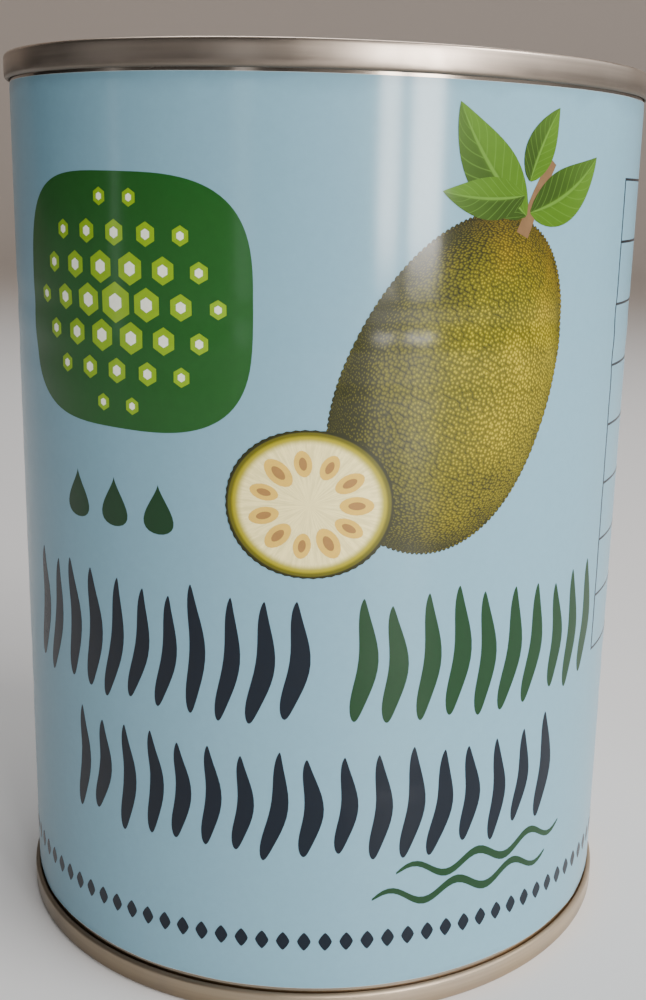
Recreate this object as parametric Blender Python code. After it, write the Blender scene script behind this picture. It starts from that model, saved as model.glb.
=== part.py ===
"""A 20 oz food can: side-welded tinplate body, two double-seamed ends, sealing rings,
a wrap-round paper label, packing water and wedges of young jackfruit.

The can stands on its lower seam, centred on the Z axis, with the label's overlap at +Y.
Sizes are named in millimetres and turned into metres by the constant MM.
"""

import math
import random

import bmesh
import bpy
from mathutils import Matrix, Vector

MM = 0.001

# The can as a whole
CAN_HEIGHT = 115.9
BODY_INNER_RADIUS = 41.65
BODY_WALL = 0.19
END_SHEET = 0.20
SEAM_GAP = 0.06
FACETS = 40

# Rolled beads in the body wall
BEAD_COUNT = 10
BEAD_DEPTH = 0.5
BEAD_PITCH = 6.2
BEADS_MIDDLE_HEIGHT = 58.5

# The double seam, as heights below its top
SEAM_LENGTH = 3.055
CHUCK_WALL_DEPTH = 2.6
COVER_HOOK_TOP = 1.1
BODY_HOOK_END = 2.4
TOP_CORNER_RADIUS = 0.35
BEND_STEPS = 2
SAME_POINT = 0.001
SHARP_FOLD = math.radians(35)

# The end panel, as radii and heights below the seam's top, on the sheet's middle surface
PANEL_DEPTH = 2.9
RING_DEPTH = 3.4
INNER_RING = (19.0, 19.8, 26.0, 26.8)
SHOULDER_RADIUS = 32.4
SHOULDER_WIDTH = 0.8
COUNTERSINK_DEPTH = 4.4
COUNTERSINK_RADII = (38.7, 39.4, 40.6)

# The lining compound inside each seam
SEAL_THICKNESS = 0.14

# The paper label
LABEL_THICKNESS = 0.10
LABEL_CLEARANCE = 0.05
LABEL_LOW_EDGE = 3.7
LABEL_HIGH_EDGE = 112.5
LABEL_OVERLAP_FACETS = 2
LABEL_START_TURN = 0.25

# The packing water
WATER_RADIUS = 40.8
WATER_LEVEL = 104.6
WATER_FLOOR = 3.85
WATER_RIM_FLOOR = 4.85
WATER_RIM_RADIUS = 38.0

# The jackfruit pieces
CHUNK_LAYERS = 3
CHUNKS_PER_LAYER = 4
CHUNK_BOTTOM = 6.0
CHUNK_HEIGHT = 33.2
CHUNK_PITCH = 33.5
CHUNK_TIP_RADIUS = 3.2
CHUNK_TIP_SPREAD = 1.0
CHUNK_OUTER_RADIUS = 38.6
CHUNK_OUTER_SPREAD = 1.5
CHUNK_ANGLE = 66.0
CHUNK_ANGLE_SPREAD = 4.0
CHUNK_EDGE_BEVEL = 1.6
CHUNK_SQUARE_EDGE = math.radians(50)
CHUNK_ARC_STEPS = 4
CUTTER_SCALE = 1.024
CHUNK_SEED = 11

# Radii that follow from the sheets lying one inside the other in the seam
BODY_MIDDLE_RADIUS = BODY_INNER_RADIUS + BODY_WALL / 2
BODY_OUTER_RADIUS = BODY_INNER_RADIUS + BODY_WALL
CHUCK_WALL_RADIUS = BODY_INNER_RADIUS - SEAM_GAP - END_SHEET / 2
COVER_HOOK_RADIUS = BODY_OUTER_RADIUS + SEAM_GAP + END_SHEET / 2
BODY_HOOK_RADIUS = COVER_HOOK_RADIUS + END_SHEET / 2 + SEAM_GAP + BODY_WALL / 2
SEAM_WALL_RADIUS = BODY_HOOK_RADIUS + BODY_WALL / 2 + SEAM_GAP + END_SHEET / 2

# Colours and finishes, as linear red, green and blue, roughness and metallic value
TINPLATE = ((0.42, 0.38, 0.34), 0.32, 1.0)
LINING = ((0.35, 0.33, 0.29), 0.7, 0.0)
PAPER = ((0.28, 0.42, 0.50), 0.35, 0.0)
WATER = ((0.80, 0.82, 0.70), 0.05, 0.0)
FRUIT = ((0.74, 0.62, 0.38), 0.6, 0.0)


def clear_scene():
    for item in list(bpy.data.objects):
        bpy.data.objects.remove(item, do_unlink=True)


def finish_material(name, look):
    """A Principled material of one colour, roughness and metallic value."""
    colour, roughness, metallic = look
    material = bpy.data.materials.get(name)
    if material is None:
        material = bpy.data.materials.new(name)
        material.use_nodes = True
    shader = material.node_tree.nodes["Principled BSDF"]
    shader.inputs["Base Color"].default_value = (*colour, 1.0)
    shader.inputs["Roughness"].default_value = roughness
    shader.inputs["Metallic"].default_value = metallic
    return material


def add_object(name, mesh, material, parent):
    item = bpy.data.objects.new(name, mesh)
    bpy.context.scene.collection.objects.link(item)
    mesh.materials.append(material)
    item.parent = parent
    return item


def rounded(corners, steps=BEND_STEPS):
    """A polyline through (radius, height, bend) corners, each bend an arc of steps chords."""
    line = []
    for index, (radius, height, bend) in enumerate(corners):
        here = Vector((radius, height))
        if bend == 0:
            line.append(here)
            continue
        before = Vector(corners[index - 1][:2]) - here
        after = Vector(corners[index + 1][:2]) - here
        half_angle = before.angle(after) / 2
        reach = bend / math.tan(half_angle)
        start = here + before.normalized() * reach
        end = here + after.normalized() * reach
        middle_way = (before.normalized() + after.normalized()).normalized()
        centre = here + middle_way * bend / math.sin(half_angle)
        turn = (start - centre).angle_signed(end - centre)
        meets_last = bool(line) and (line[-1] - start).length < SAME_POINT
        for step in range(int(meets_last), steps + 1):
            spoke = start - centre
            spoke.rotate(Matrix.Rotation(-turn * step / steps, 2))
            line.append(centre + spoke)
    return line


def offset(line, distance):
    """The line moved sideways, to its left, with each corner mitred."""
    moved = []
    last = len(line) - 1
    for index, point in enumerate(line):
        ahead = line[min(index + 1, last)] - line[min(index, last - 1)]
        behind = line[max(index, 1)] - line[max(index - 1, 0)]
        left_ahead = Vector((-ahead.y, ahead.x)).normalized()
        left_behind = Vector((-behind.y, behind.x)).normalized()
        mitre = (left_ahead + left_behind).normalized()
        moved.append(point + mitre * distance / mitre.dot(left_ahead))
    return moved


def sheet_outline(line, thickness):
    """The closed outline of a sheet whose middle surface is the line."""
    outline = offset(line, thickness / 2)
    outline += reversed(offset(line, -thickness / 2))
    on_axis = min(point.x for point in line) == 0
    if on_axis:
        outline[0].x = 0
        outline[-1].x = 0
    return outline


def turned_mesh(name, outline, closed=True):
    """The outline of (radius, height) points spun round the Z axis."""
    shape = bmesh.new()
    points = [shape.verts.new((p[0] * MM, 0, p[1] * MM)) for p in outline]
    edges = [shape.edges.new(pair) for pair in zip(points, points[1:])]
    if closed:
        edges.append(shape.edges.new((points[-1], points[0])))
    bmesh.ops.spin(
        shape,
        geom=points + edges,
        cent=(0, 0, 0),
        axis=(0, 0, 1),
        angle=math.tau,
        steps=FACETS,
        use_merge=True,
    )
    bmesh.ops.remove_doubles(shape, verts=shape.verts, dist=SAME_POINT * MM)
    bmesh.ops.recalc_face_normals(shape, faces=shape.faces)
    mesh = bpy.data.meshes.new(name)
    shape.to_mesh(mesh)
    shape.free()
    return mesh


def shade_round(mesh, sharp_angle=SHARP_FOLD):
    mesh.shade_smooth()
    mesh.set_sharp_from_angle(angle=sharp_angle)


def make_body(parent):
    """The welded tube: a body hook at each end and beads between them."""
    arch = BODY_HOOK_RADIUS - BODY_MIDDLE_RADIUS
    arch_top = CAN_HEIGHT - END_SHEET - SEAL_THICKNESS - 2 * SEAM_GAP - BODY_WALL / 2
    top_hook = rounded(
        (
            (BODY_HOOK_RADIUS, CAN_HEIGHT - BODY_HOOK_END, 0),
            (BODY_HOOK_RADIUS, arch_top, arch / 2),
            (BODY_MIDDLE_RADIUS, arch_top, arch / 2),
            (BODY_MIDDLE_RADIUS, CAN_HEIGHT / 2, 0),
        )
    )[:-1]
    beads = []
    for step in range(2 * BEAD_COUNT + 1):
        depth = BEAD_DEPTH if step % 2 else 0
        height = BEADS_MIDDLE_HEIGHT + BEAD_PITCH * (BEAD_COUNT / 2 - step / 2)
        beads.append(Vector((BODY_MIDDLE_RADIUS - depth, height)))
    bottom_hook = [Vector((point.x, CAN_HEIGHT - point.y)) for point in reversed(top_hook)]
    mesh = turned_mesh("can_body", sheet_outline(top_hook + beads + bottom_hook, BODY_WALL))
    shade_round(mesh)
    add_object("can_body", mesh, finish_material("tinplate", TINPLATE), parent)


def end_line():
    """The middle surface of an end, from its centre to the tip of its cover hook."""
    inner_rise, inner_fall, outer_fall, outer_rise = INNER_RING
    shoulder_end = SHOULDER_RADIUS + SHOULDER_WIDTH
    seam_top = END_SHEET / 2
    hook_bend = (SEAM_WALL_RADIUS - COVER_HOOK_RADIUS) / 2
    hook_bottom = SEAM_LENGTH - END_SHEET / 2
    return rounded(
        (
            (0, -PANEL_DEPTH, 0),
            (inner_rise, -PANEL_DEPTH, 0),
            (inner_fall, -RING_DEPTH, 0),
            (outer_fall, -RING_DEPTH, 0),
            (outer_rise, -PANEL_DEPTH, 0),
            (SHOULDER_RADIUS, -PANEL_DEPTH, 0),
            (shoulder_end, -RING_DEPTH, 0),
            (COUNTERSINK_RADII[0], -RING_DEPTH, 0),
            (COUNTERSINK_RADII[1], -COUNTERSINK_DEPTH, 0),
            (COUNTERSINK_RADII[2], -COUNTERSINK_DEPTH, 0),
            (CHUCK_WALL_RADIUS, -CHUCK_WALL_DEPTH, 0),
            (CHUCK_WALL_RADIUS, -seam_top, TOP_CORNER_RADIUS),
            (SEAM_WALL_RADIUS, -seam_top, TOP_CORNER_RADIUS),
            (SEAM_WALL_RADIUS, -hook_bottom, hook_bend),
            (COVER_HOOK_RADIUS, -hook_bottom, hook_bend),
            (COVER_HOOK_RADIUS, -COVER_HOOK_TOP, 0),
        )
    )


def make_ends(parent):
    """Both ends share one mesh; the lower one is turned over."""
    mesh = turned_mesh("end", sheet_outline(end_line(), END_SHEET))
    shade_round(mesh)
    tinplate = finish_material("tinplate", TINPLATE)
    top = add_object("end_top", mesh, tinplate, parent)
    top.location.z = CAN_HEIGHT * MM
    bottom = bpy.data.objects.new("end_bottom", mesh)
    bpy.context.scene.collection.objects.link(bottom)
    bottom.parent = parent
    bottom.rotation_euler.x = math.pi


def make_seals(parent):
    """A flat ring of lining compound between each body flange and its end."""
    inner = BODY_MIDDLE_RADIUS + SEAM_GAP
    outer = BODY_HOOK_RADIUS - SEAM_GAP
    upper = END_SHEET + SEAM_GAP
    lower = upper + SEAL_THICKNESS
    outline = [(inner, -upper), (inner, -lower), (outer, -lower), (outer, -upper)]
    mesh = turned_mesh("seal", outline)
    shade_round(mesh)
    top = add_object("seal_top", mesh, finish_material("lining", LINING), parent)
    top.location.z = CAN_HEIGHT * MM
    bottom = bpy.data.objects.new("seal_bottom", mesh)
    bpy.context.scene.collection.objects.link(bottom)
    bottom.parent = parent
    bottom.rotation_euler.x = math.pi


def make_label(parent):
    """One sheet wound a little past a full turn, its far end lying over its near end."""
    inside = BODY_OUTER_RADIUS + LABEL_CLEARANCE
    lift = LABEL_THICKNESS + LABEL_CLEARANCE
    low = LABEL_LOW_EDGE * MM
    high = LABEL_HIGH_EDGE * MM
    shape = bmesh.new()
    ribs = []
    for step in range(FACETS + LABEL_OVERLAP_FACETS + 1):
        angle = math.tau * (LABEL_START_TURN + step / FACETS)
        inner = inside + (lift if step >= FACETS else 0)
        outer = inner + LABEL_THICKNESS
        across = Vector((math.cos(angle), math.sin(angle), 0)) * MM
        rib = [
            across * inner + Vector((0, 0, low)),
            across * outer + Vector((0, 0, low)),
            across * outer + Vector((0, 0, high)),
            across * inner + Vector((0, 0, high)),
        ]
        ribs.append([shape.verts.new(corner) for corner in rib])
    for near, far in zip(ribs, ribs[1:]):
        for side in range(4):
            following = (side + 1) % 4
            shape.faces.new((near[side], near[following], far[following], far[side]))
    shape.faces.new(ribs[0])
    shape.faces.new(ribs[-1])
    bmesh.ops.recalc_face_normals(shape, faces=shape.faces)
    mesh = bpy.data.meshes.new("label")
    shape.to_mesh(mesh)
    shape.free()
    shade_round(mesh)
    add_object("label", mesh, finish_material("paper", PAPER), parent)


def wedge_mesh(name, draw):
    """A bevelled wedge of fruit with its heart towards the can's axis, centred on its origin."""
    half_angle = math.radians(CHUNK_ANGLE + draw.uniform(-1, 1) * CHUNK_ANGLE_SPREAD) / 2
    outer = CHUNK_OUTER_RADIUS - draw.uniform(0, 1) * CHUNK_OUTER_SPREAD
    outline = []
    for step in range(CHUNK_ARC_STEPS + 1):
        angle = half_angle * (2 * step / CHUNK_ARC_STEPS - 1)
        outline.append(Vector((outer * math.cos(angle), outer * math.sin(angle))))
    tip = CHUNK_TIP_RADIUS + draw.uniform(0, 1) * CHUNK_TIP_SPREAD
    outline.append(Vector((tip, tip * math.tan(half_angle))))
    outline.append(Vector((tip, -tip * math.tan(half_angle))))
    middle = (outer + tip) / 2
    half_height = CHUNK_HEIGHT / 2
    shape = bmesh.new()
    base = [shape.verts.new(((p.x - middle) * MM, p.y * MM, -half_height * MM)) for p in outline]
    floor = shape.faces.new(base)
    grown = bmesh.ops.extrude_face_region(shape, geom=[floor])
    raised = [part for part in grown["geom"] if isinstance(part, bmesh.types.BMVert)]
    bmesh.ops.translate(shape, verts=raised, vec=(0, 0, CHUNK_HEIGHT * MM))
    bmesh.ops.recalc_face_normals(shape, faces=shape.faces)
    square_edges = [edge for edge in shape.edges if edge.calc_face_angle() > CHUNK_SQUARE_EDGE]
    bmesh.ops.bevel(
        shape,
        geom=square_edges,
        offset=CHUNK_EDGE_BEVEL * MM,
        segments=1,
        affect="EDGES",
    )
    mesh = bpy.data.meshes.new(name)
    shape.to_mesh(mesh)
    shape.free()
    return mesh, middle


def make_fruit(parent):
    """The packed wedges, in layers turned against each other."""
    draw = random.Random(CHUNK_SEED)
    fruit = finish_material("fruit", FRUIT)
    chunks = []
    for layer in range(CHUNK_LAYERS):
        layer_turn = math.radians(draw.uniform(0, 90))
        for place in range(CHUNKS_PER_LAYER):
            name = f"jackfruit_chunk_{len(chunks) + 1:02d}"
            mesh, middle = wedge_mesh(name, draw)
            shade_round(mesh, CHUNK_SQUARE_EDGE)
            turn = layer_turn + math.tau * place / CHUNKS_PER_LAYER
            chunk = add_object(name, mesh, fruit, parent)
            chunk.rotation_euler.z = turn
            height = CHUNK_BOTTOM + CHUNK_HEIGHT / 2 + layer * CHUNK_PITCH
            chunk.location = (middle * math.cos(turn) * MM, middle * math.sin(turn) * MM, height * MM)
            chunks.append(chunk)
    return chunks


def make_water(chunks, parent):
    """The water round the fruit: a turned block with a slightly larger copy of each piece cut out."""
    outline = [
        (0, WATER_FLOOR),
        (WATER_RIM_RADIUS, WATER_FLOOR),
        (WATER_RIM_RADIUS + WATER_RIM_FLOOR - WATER_FLOOR, WATER_RIM_FLOOR),
        (WATER_RADIUS, WATER_RIM_FLOOR),
        (WATER_RADIUS, WATER_LEVEL),
        (0, WATER_LEVEL),
    ]
    mesh = turned_mesh("packing_water", outline, closed=False)
    water = add_object("packing_water", mesh, finish_material("water", WATER), parent)
    cutters = bpy.data.collections.new("water_cutters")
    bpy.context.scene.collection.children.link(cutters)
    for chunk in chunks:
        cutter = bpy.data.objects.new(chunk.name + "_cutter", chunk.data)
        cutters.objects.link(cutter)
        cutter.location = chunk.location
        cutter.rotation_euler = chunk.rotation_euler
        cutter.scale = (CUTTER_SCALE,) * 3
        cutter.hide_render = True
        cutter.display_type = "WIRE"
    cutters.hide_render = True
    cut = water.modifiers.new("fruit_spaces", "BOOLEAN")
    cut.operation = "DIFFERENCE"
    cut.operand_type = "COLLECTION"
    cut.collection = cutters
    cut.solver = "EXACT"


def main():
    clear_scene()
    can = bpy.data.objects.new("food_can", None)
    bpy.context.scene.collection.objects.link(can)
    make_body(can)
    make_ends(can)
    make_seals(can)
    make_label(can)
    chunks = make_fruit(can)
    make_water(chunks, can)


main()
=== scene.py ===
"""Finishes for a round food can: satin tinplate, a glossy paper label with a plain generic print,
and the fruit and water inside.

Lengths are in metres in the can's own frame, +Z up, with the label's front towards -Y. The print
is laid out flat first, as (distance round the label from its front, height above the table), and
is then wrapped on the can by a node tree. The print's own sizes and places are in millimetres.
"""

import math

import bmesh
import bpy
from mathutils import Matrix, Vector


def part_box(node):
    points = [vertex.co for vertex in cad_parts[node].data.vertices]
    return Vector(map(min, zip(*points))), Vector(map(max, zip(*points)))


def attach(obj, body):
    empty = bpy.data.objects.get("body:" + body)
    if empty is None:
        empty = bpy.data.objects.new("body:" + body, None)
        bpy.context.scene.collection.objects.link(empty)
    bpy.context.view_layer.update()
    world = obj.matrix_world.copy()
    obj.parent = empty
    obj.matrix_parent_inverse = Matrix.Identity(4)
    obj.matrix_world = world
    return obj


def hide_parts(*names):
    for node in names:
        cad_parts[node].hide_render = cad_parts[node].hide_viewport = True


bl_info = {
    "name": "Food can finishes",
    "version": (1, 0, 0),
    "blender": (4, 5, 0),
    "location": "3D View > Sidebar > Food can",
    "description": "Dresses a round food can in tinplate, a printed paper label, and its contents",
    "category": "Object",
}

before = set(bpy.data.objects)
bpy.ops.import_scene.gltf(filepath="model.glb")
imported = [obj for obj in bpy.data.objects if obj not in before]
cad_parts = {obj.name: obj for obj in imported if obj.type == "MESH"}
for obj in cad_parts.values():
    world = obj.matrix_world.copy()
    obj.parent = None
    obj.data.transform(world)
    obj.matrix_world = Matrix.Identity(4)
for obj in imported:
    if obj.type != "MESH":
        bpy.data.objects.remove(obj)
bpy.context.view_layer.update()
BODY = "root"

MM = 0.001

# Sizes read from the frame
CAN_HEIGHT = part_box("end_top")[1].z
SEAM_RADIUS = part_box("end_top")[1].x
LABEL_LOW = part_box("label")[0].z
LABEL_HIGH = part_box("label")[1].z
LABEL_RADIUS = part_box("label")[1].x
LABEL_OVERLAP_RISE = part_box("label")[1].y - LABEL_RADIUS
CHUNK_NODES = sorted(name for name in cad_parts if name.startswith("jackfruit_chunk"))

# The sheets of the double seam, outside to inside, as in the frame
SEAM_GAP = 0.06 * MM
END_SHEET = 0.20 * MM
BODY_WALL = 0.19 * MM
SEAM_WALL_RADIUS = SEAM_RADIUS - END_SHEET / 2
BODY_HOOK_RADIUS = SEAM_WALL_RADIUS - END_SHEET / 2 - SEAM_GAP - BODY_WALL / 2
COVER_HOOK_RADIUS = BODY_HOOK_RADIUS - BODY_WALL / 2 - SEAM_GAP - END_SHEET / 2
BODY_MIDDLE_RADIUS = COVER_HOOK_RADIUS - END_SHEET / 2 - SEAM_GAP - BODY_WALL / 2
CHUCK_WALL_RADIUS = BODY_MIDDLE_RADIUS - BODY_WALL / 2 - SEAM_GAP - END_SHEET / 2
SEAL_THICKNESS = 0.14 * MM
SEAM_LENGTH = 3.055 * MM
BODY_HOOK_END = 2.4 * MM
COVER_HOOK_TOP = 1.1 * MM
CHUCK_WALL_DEPTH = 2.6 * MM
CHUCK_WALL_BEND = 0.6 * MM
TOP_CORNER = 0.35 * MM
HOOK_OUTER_SHARE = 0.7
BELLY = 0.045 * MM
BELLY_SHARES = (0.25, 0.4, 0.55, 0.7)

# The end panel's corners as radius, depth below the seam's top and bend radius, in millimetres
PANEL_CORNERS = (
    (0.0, 2.9, 0.0),
    (19.0, 2.9, 1.2),
    (19.8, 3.4, 1.2),
    (26.0, 3.4, 1.2),
    (26.8, 2.9, 1.2),
    (32.4, 2.9, 1.2),
    (33.2, 3.4, 1.2),
    (38.7, 3.4, 0.45),
    (39.4, 4.4, 0.35),
    (40.6, 4.4, 0.45),
)

# The rolled beads in the body
BEAD_COUNT = 10
BEAD_PITCH = 6.2 * MM
BEAD_DEPTH = 0.5 * MM
BEAD_STEPS = 8
BEADS_MIDDLE = 58.5 * MM

# How far the noise of the rolled lines moves in one radian round the can
LINE_STEP = 1.2 * MM

# The label's sheet: its overlap in degrees, its rows and columns, the rows at its edges in
# millimetres, the width of its pressed edge, and how fast its dips change with height
OVERLAP = 18
OVERLAP_START = 171
LABEL_COLUMNS = 397
LABEL_ROWS = 78
EDGE_ROWS = (0.0, 0.05, 0.15, 0.3, 0.5, 0.7, 0.9)
PRESSED_BAND = 0.9 * MM
DIP_CHANGES = 30.0

# Ink films lie on the paper in layers
INK_ROOT = -0.02 * MM
INK_LAYER = (0.02 * MM, 0.035 * MM, 0.05 * MM, 0.065 * MM, 0.08 * MM)

# The width of a ruled line in millimetres, that of a leaf's foot, and the cells along a lattice's grid
RULE_WIDTH = 0.32
LEAF_FOOT = 0.2 * MM
GRID = 24

# How finely meshes are cut, and how close points are merged
CUT_STEP = 1.2 * MM
SAME_POINT = 0.0005 * MM
FOLD_ANGLE = math.radians(35)
FRUIT_FACET = 1.1 * MM

# The room's light: azimuths in degrees from the front towards +X, then heights and shares
BRIGHT_SIDE = 100
GLOW_SIDE = 37
HORIZON_SHADE = 0.35
HORIZON_HEIGHT = 0.45
GLOW_HEIGHT = 0.25
GLOW_START = 0.6
DARKEST = 0.04
SKY_SHOWN = 0.5
RIGHT_PANE = 0.6
LEFT_PANE = 0.34
FAR_WINDOW = 0.6
ROOM_COLOUR = (1.0, 0.985, 0.965)
WARM = (1.0, 0.955, 0.90)
COOL = (0.94, 0.97, 1.0)
NEUTRAL = (1.0, 0.98, 0.95)
LIGHTS_AIM = Vector((0, 0, 0.058))

# The floor, from near the camera to its curve up into the backdrop
FLOOR_HALF_WIDTH = 2.6
FLOOR_NEAR = -2.4
FLOOR_FAR = 1.3
FLOOR_CURVE = 0.6
FLOOR_TOP = 1.8
CURVE_STEPS = 12

# The camera, as found from the rims of the can
CAMERA_PLACE = (0.0, -180.2 * MM, 101.7 * MM)
CAMERA_YAW = math.radians(2.68)
CAMERA_PITCH = math.radians(14.15)
CAMERA_ROLL = math.radians(-1.73)
FOCAL_PIXELS = 1263.0
IMAGE_SIZE = (646, 1000)
CENTRE_PIXEL = (380.0, 500.0)
SENSOR = 36.0


# Settings that a user would change


def linear(red, green, blue):
    """An sRGB colour from 0 to 255 as linear values from 0 to 1."""
    shares = [level / 255 for level in (red, green, blue)]
    return tuple(share / 12.92 if share <= 0.04045 else ((share + 0.055) / 1.055) ** 2.4 for share in shares)


def setting_maker(kind, **fixed):
    """Makes settings of one kind from their name, description and default."""
    def setting(name, description, default, **more):
        return kind(name=name, description=description, default=default, **fixed, **more)
    return setting


length_setting = setting_maker(bpy.props.FloatProperty, subtype="DISTANCE", unit="LENGTH", precision=5)
share_setting = setting_maker(bpy.props.FloatProperty, subtype="FACTOR", min=0, max=1)
colour_setting = setting_maker(bpy.props.FloatVectorProperty, subtype="COLOR", size=3, min=0, max=1)
power_setting = setting_maker(bpy.props.FloatProperty, unit="POWER", min=0)
strength_setting = setting_maker(bpy.props.FloatProperty, min=0)
count_setting = setting_maker(bpy.props.IntProperty)


class FoodCanMetal(bpy.types.PropertyGroup):
    """The tinplate and the lining in its seams."""

    tinplate: colour_setting("Tinplate", "Colour of the rolled tinplate", (0.570, 0.480, 0.404))
    tarnish: colour_setting("Tarnish", "Colour of the tinplate near the table", (0.58, 0.46, 0.32))
    # The colour of the dirt and the painted shade in the groove beside the seams
    stain: colour_setting("Stain", "Colour of the dirt under the seams", (0.13, 0.115, 0.095))
    roughness: share_setting("Roughness", "How blurred the tinplate's reflections are", 0.31)
    body_roughness: share_setting("Body roughness", "How blurred the reflections of the bare body are", 0.13)
    lining: colour_setting("Lining", "Colour of the lining compound", (0.35, 0.33, 0.29))
    segments: count_setting("Segments", "Facets round each turned sheet", 256, min=32, max=512)
    bend_steps: count_setting("Bend steps", "Facets in each bend of a sheet", 6, min=2, max=12)


class FoodCanLabel(bpy.types.PropertyGroup):
    """The paper label."""

    paper: colour_setting("Paper", "Colour printed all over the label", (0.180, 0.345, 0.446))
    edge: colour_setting("Cut edge", "Colour of the paper's cut edge", linear(226, 228, 226))
    thickness: length_setting("Thickness", "Thickness of the paper", 0.10 * MM)
    dip: length_setting("Dip", "How far the paper sinks over the beads", 0.08 * MM)
    press: length_setting("Edge press", "How far the paper's edge is pressed towards the can", 0.10 * MM)
    gloss: share_setting("Gloss", "Strength of the clear varnish on the paper", 0.6)
    varnish_roughness: share_setting("Varnish roughness", "How blurred the varnish's shine is", 0.14)


class FoodCanPrint(bpy.types.PropertyGroup):
    """The inks of the label's print."""

    navy: colour_setting("Navy", "Colour of the dark blades", linear(3, 16, 30))
    green: colour_setting("Green", "Colour of the green blades and the ripples", linear(14, 54, 25))
    plaque: colour_setting("Plaque", "Colour of the plaque", linear(30, 82, 32))
    leaf: colour_setting("Leaf", "Colour of the leaves", linear(64, 100, 12))
    lime: colour_setting("Lime", "Colour of the plaque's lattice", linear(128, 166, 18))
    cream: colour_setting("Cream", "Colour of the light details", linear(236, 240, 226))
    flesh: colour_setting("Flesh", "Colour of the cut fruit", linear(226, 214, 150))
    pod: colour_setting("Pod", "Colour of the pods in the cut fruit", linear(214, 176, 74))
    seed: colour_setting("Seed", "Colour of the seeds in the pods", linear(150, 112, 62))
    skin_dark: colour_setting("Skin shade", "Fruit skin in its grooves", linear(34, 36, 6))
    skin_mid: colour_setting("Skin", "Fruit skin", linear(88, 86, 8))
    skin_light: colour_setting("Skin light", "Fruit skin on the tips of its spikes", linear(156, 148, 22))
    stalk: colour_setting("Stalk", "Colour of the stalk", linear(110, 84, 56))
    draw_seed: count_setting("Seed", "Seed of the hand-drawn look", 7)


class FoodCanContents(bpy.types.PropertyGroup):
    """The fruit and the water."""

    fruit: colour_setting("Fruit", "Colour of the young fruit", linear(222, 200, 150))
    core: colour_setting("Fibre", "Colour between the fibres", linear(176, 146, 92))
    water: colour_setting("Water", "Tint of the packing water", linear(236, 234, 206))
    ripple: length_setting("Fibre depth", "Depth of the grooves between the fibres", 0.35 * MM)


class FoodCanStage(bpy.types.PropertyGroup):
    """The floor and the light."""

    floor: colour_setting("Floor", "Colour of the floor", (0.82, 0.82, 0.835))
    backdrop: colour_setting("Backdrop", "Colour of the backdrop", (0.52, 0.45, 0.40))
    key: power_setting("Key light", "Power of the soft light on the right", 6.2)
    window: power_setting("Window light", "Power of the window's two panes", 4.8)
    glint: power_setting("Left light", "Power of the slim window on the left", 0.10)
    overhead: power_setting("Overhead light", "Power of the light above the can", 1.9)
    room: strength_setting("Room light", "Strength of the room's light on its bright side", 1.3)
    slant: strength_setting("Slant", "How fast the room darkens away from its bright side", 2.6)
    glow: strength_setting("Glow", "Strength of the broad light in front of the can", 0.8)


# Drawing node trees


class Field:
    """The value at a node's output. Arithmetic with it adds Math nodes to its tree."""

    def __init__(self, nodes, socket):
        self.nodes = nodes
        self.socket = socket

    def __add__(self, other):
        return self.nodes.maths("ADD", self, other)

    def __sub__(self, other):
        return self.nodes.maths("SUBTRACT", self, other)

    def __rsub__(self, other):
        return self.nodes.maths("SUBTRACT", other, self)

    def __mul__(self, other):
        return self.nodes.maths("MULTIPLY", self, other)

    def __truediv__(self, other):
        return self.nodes.maths("DIVIDE", self, other)

    def other(self, output):
        """Another output of the same node."""
        return Field(self.nodes, self.socket.node.outputs[output])

    def ramped(self, low, high, start=0.0, stop=1.0, curve="LINEAR"):
        """Mapped from the range low to high onto start to stop, and held at both ends."""
        inputs = {0: self, 1: low, 2: high, 3: start, 4: stop}
        return self.nodes.put("ShaderNodeMapRange", inputs, interpolation_type=curve)

    def eased(self, low, high, start=0.0, stop=1.0):
        """As ramped, but with a smooth start and stop."""
        return self.ramped(low, high, start, stop, "SMOOTHSTEP")


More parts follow.
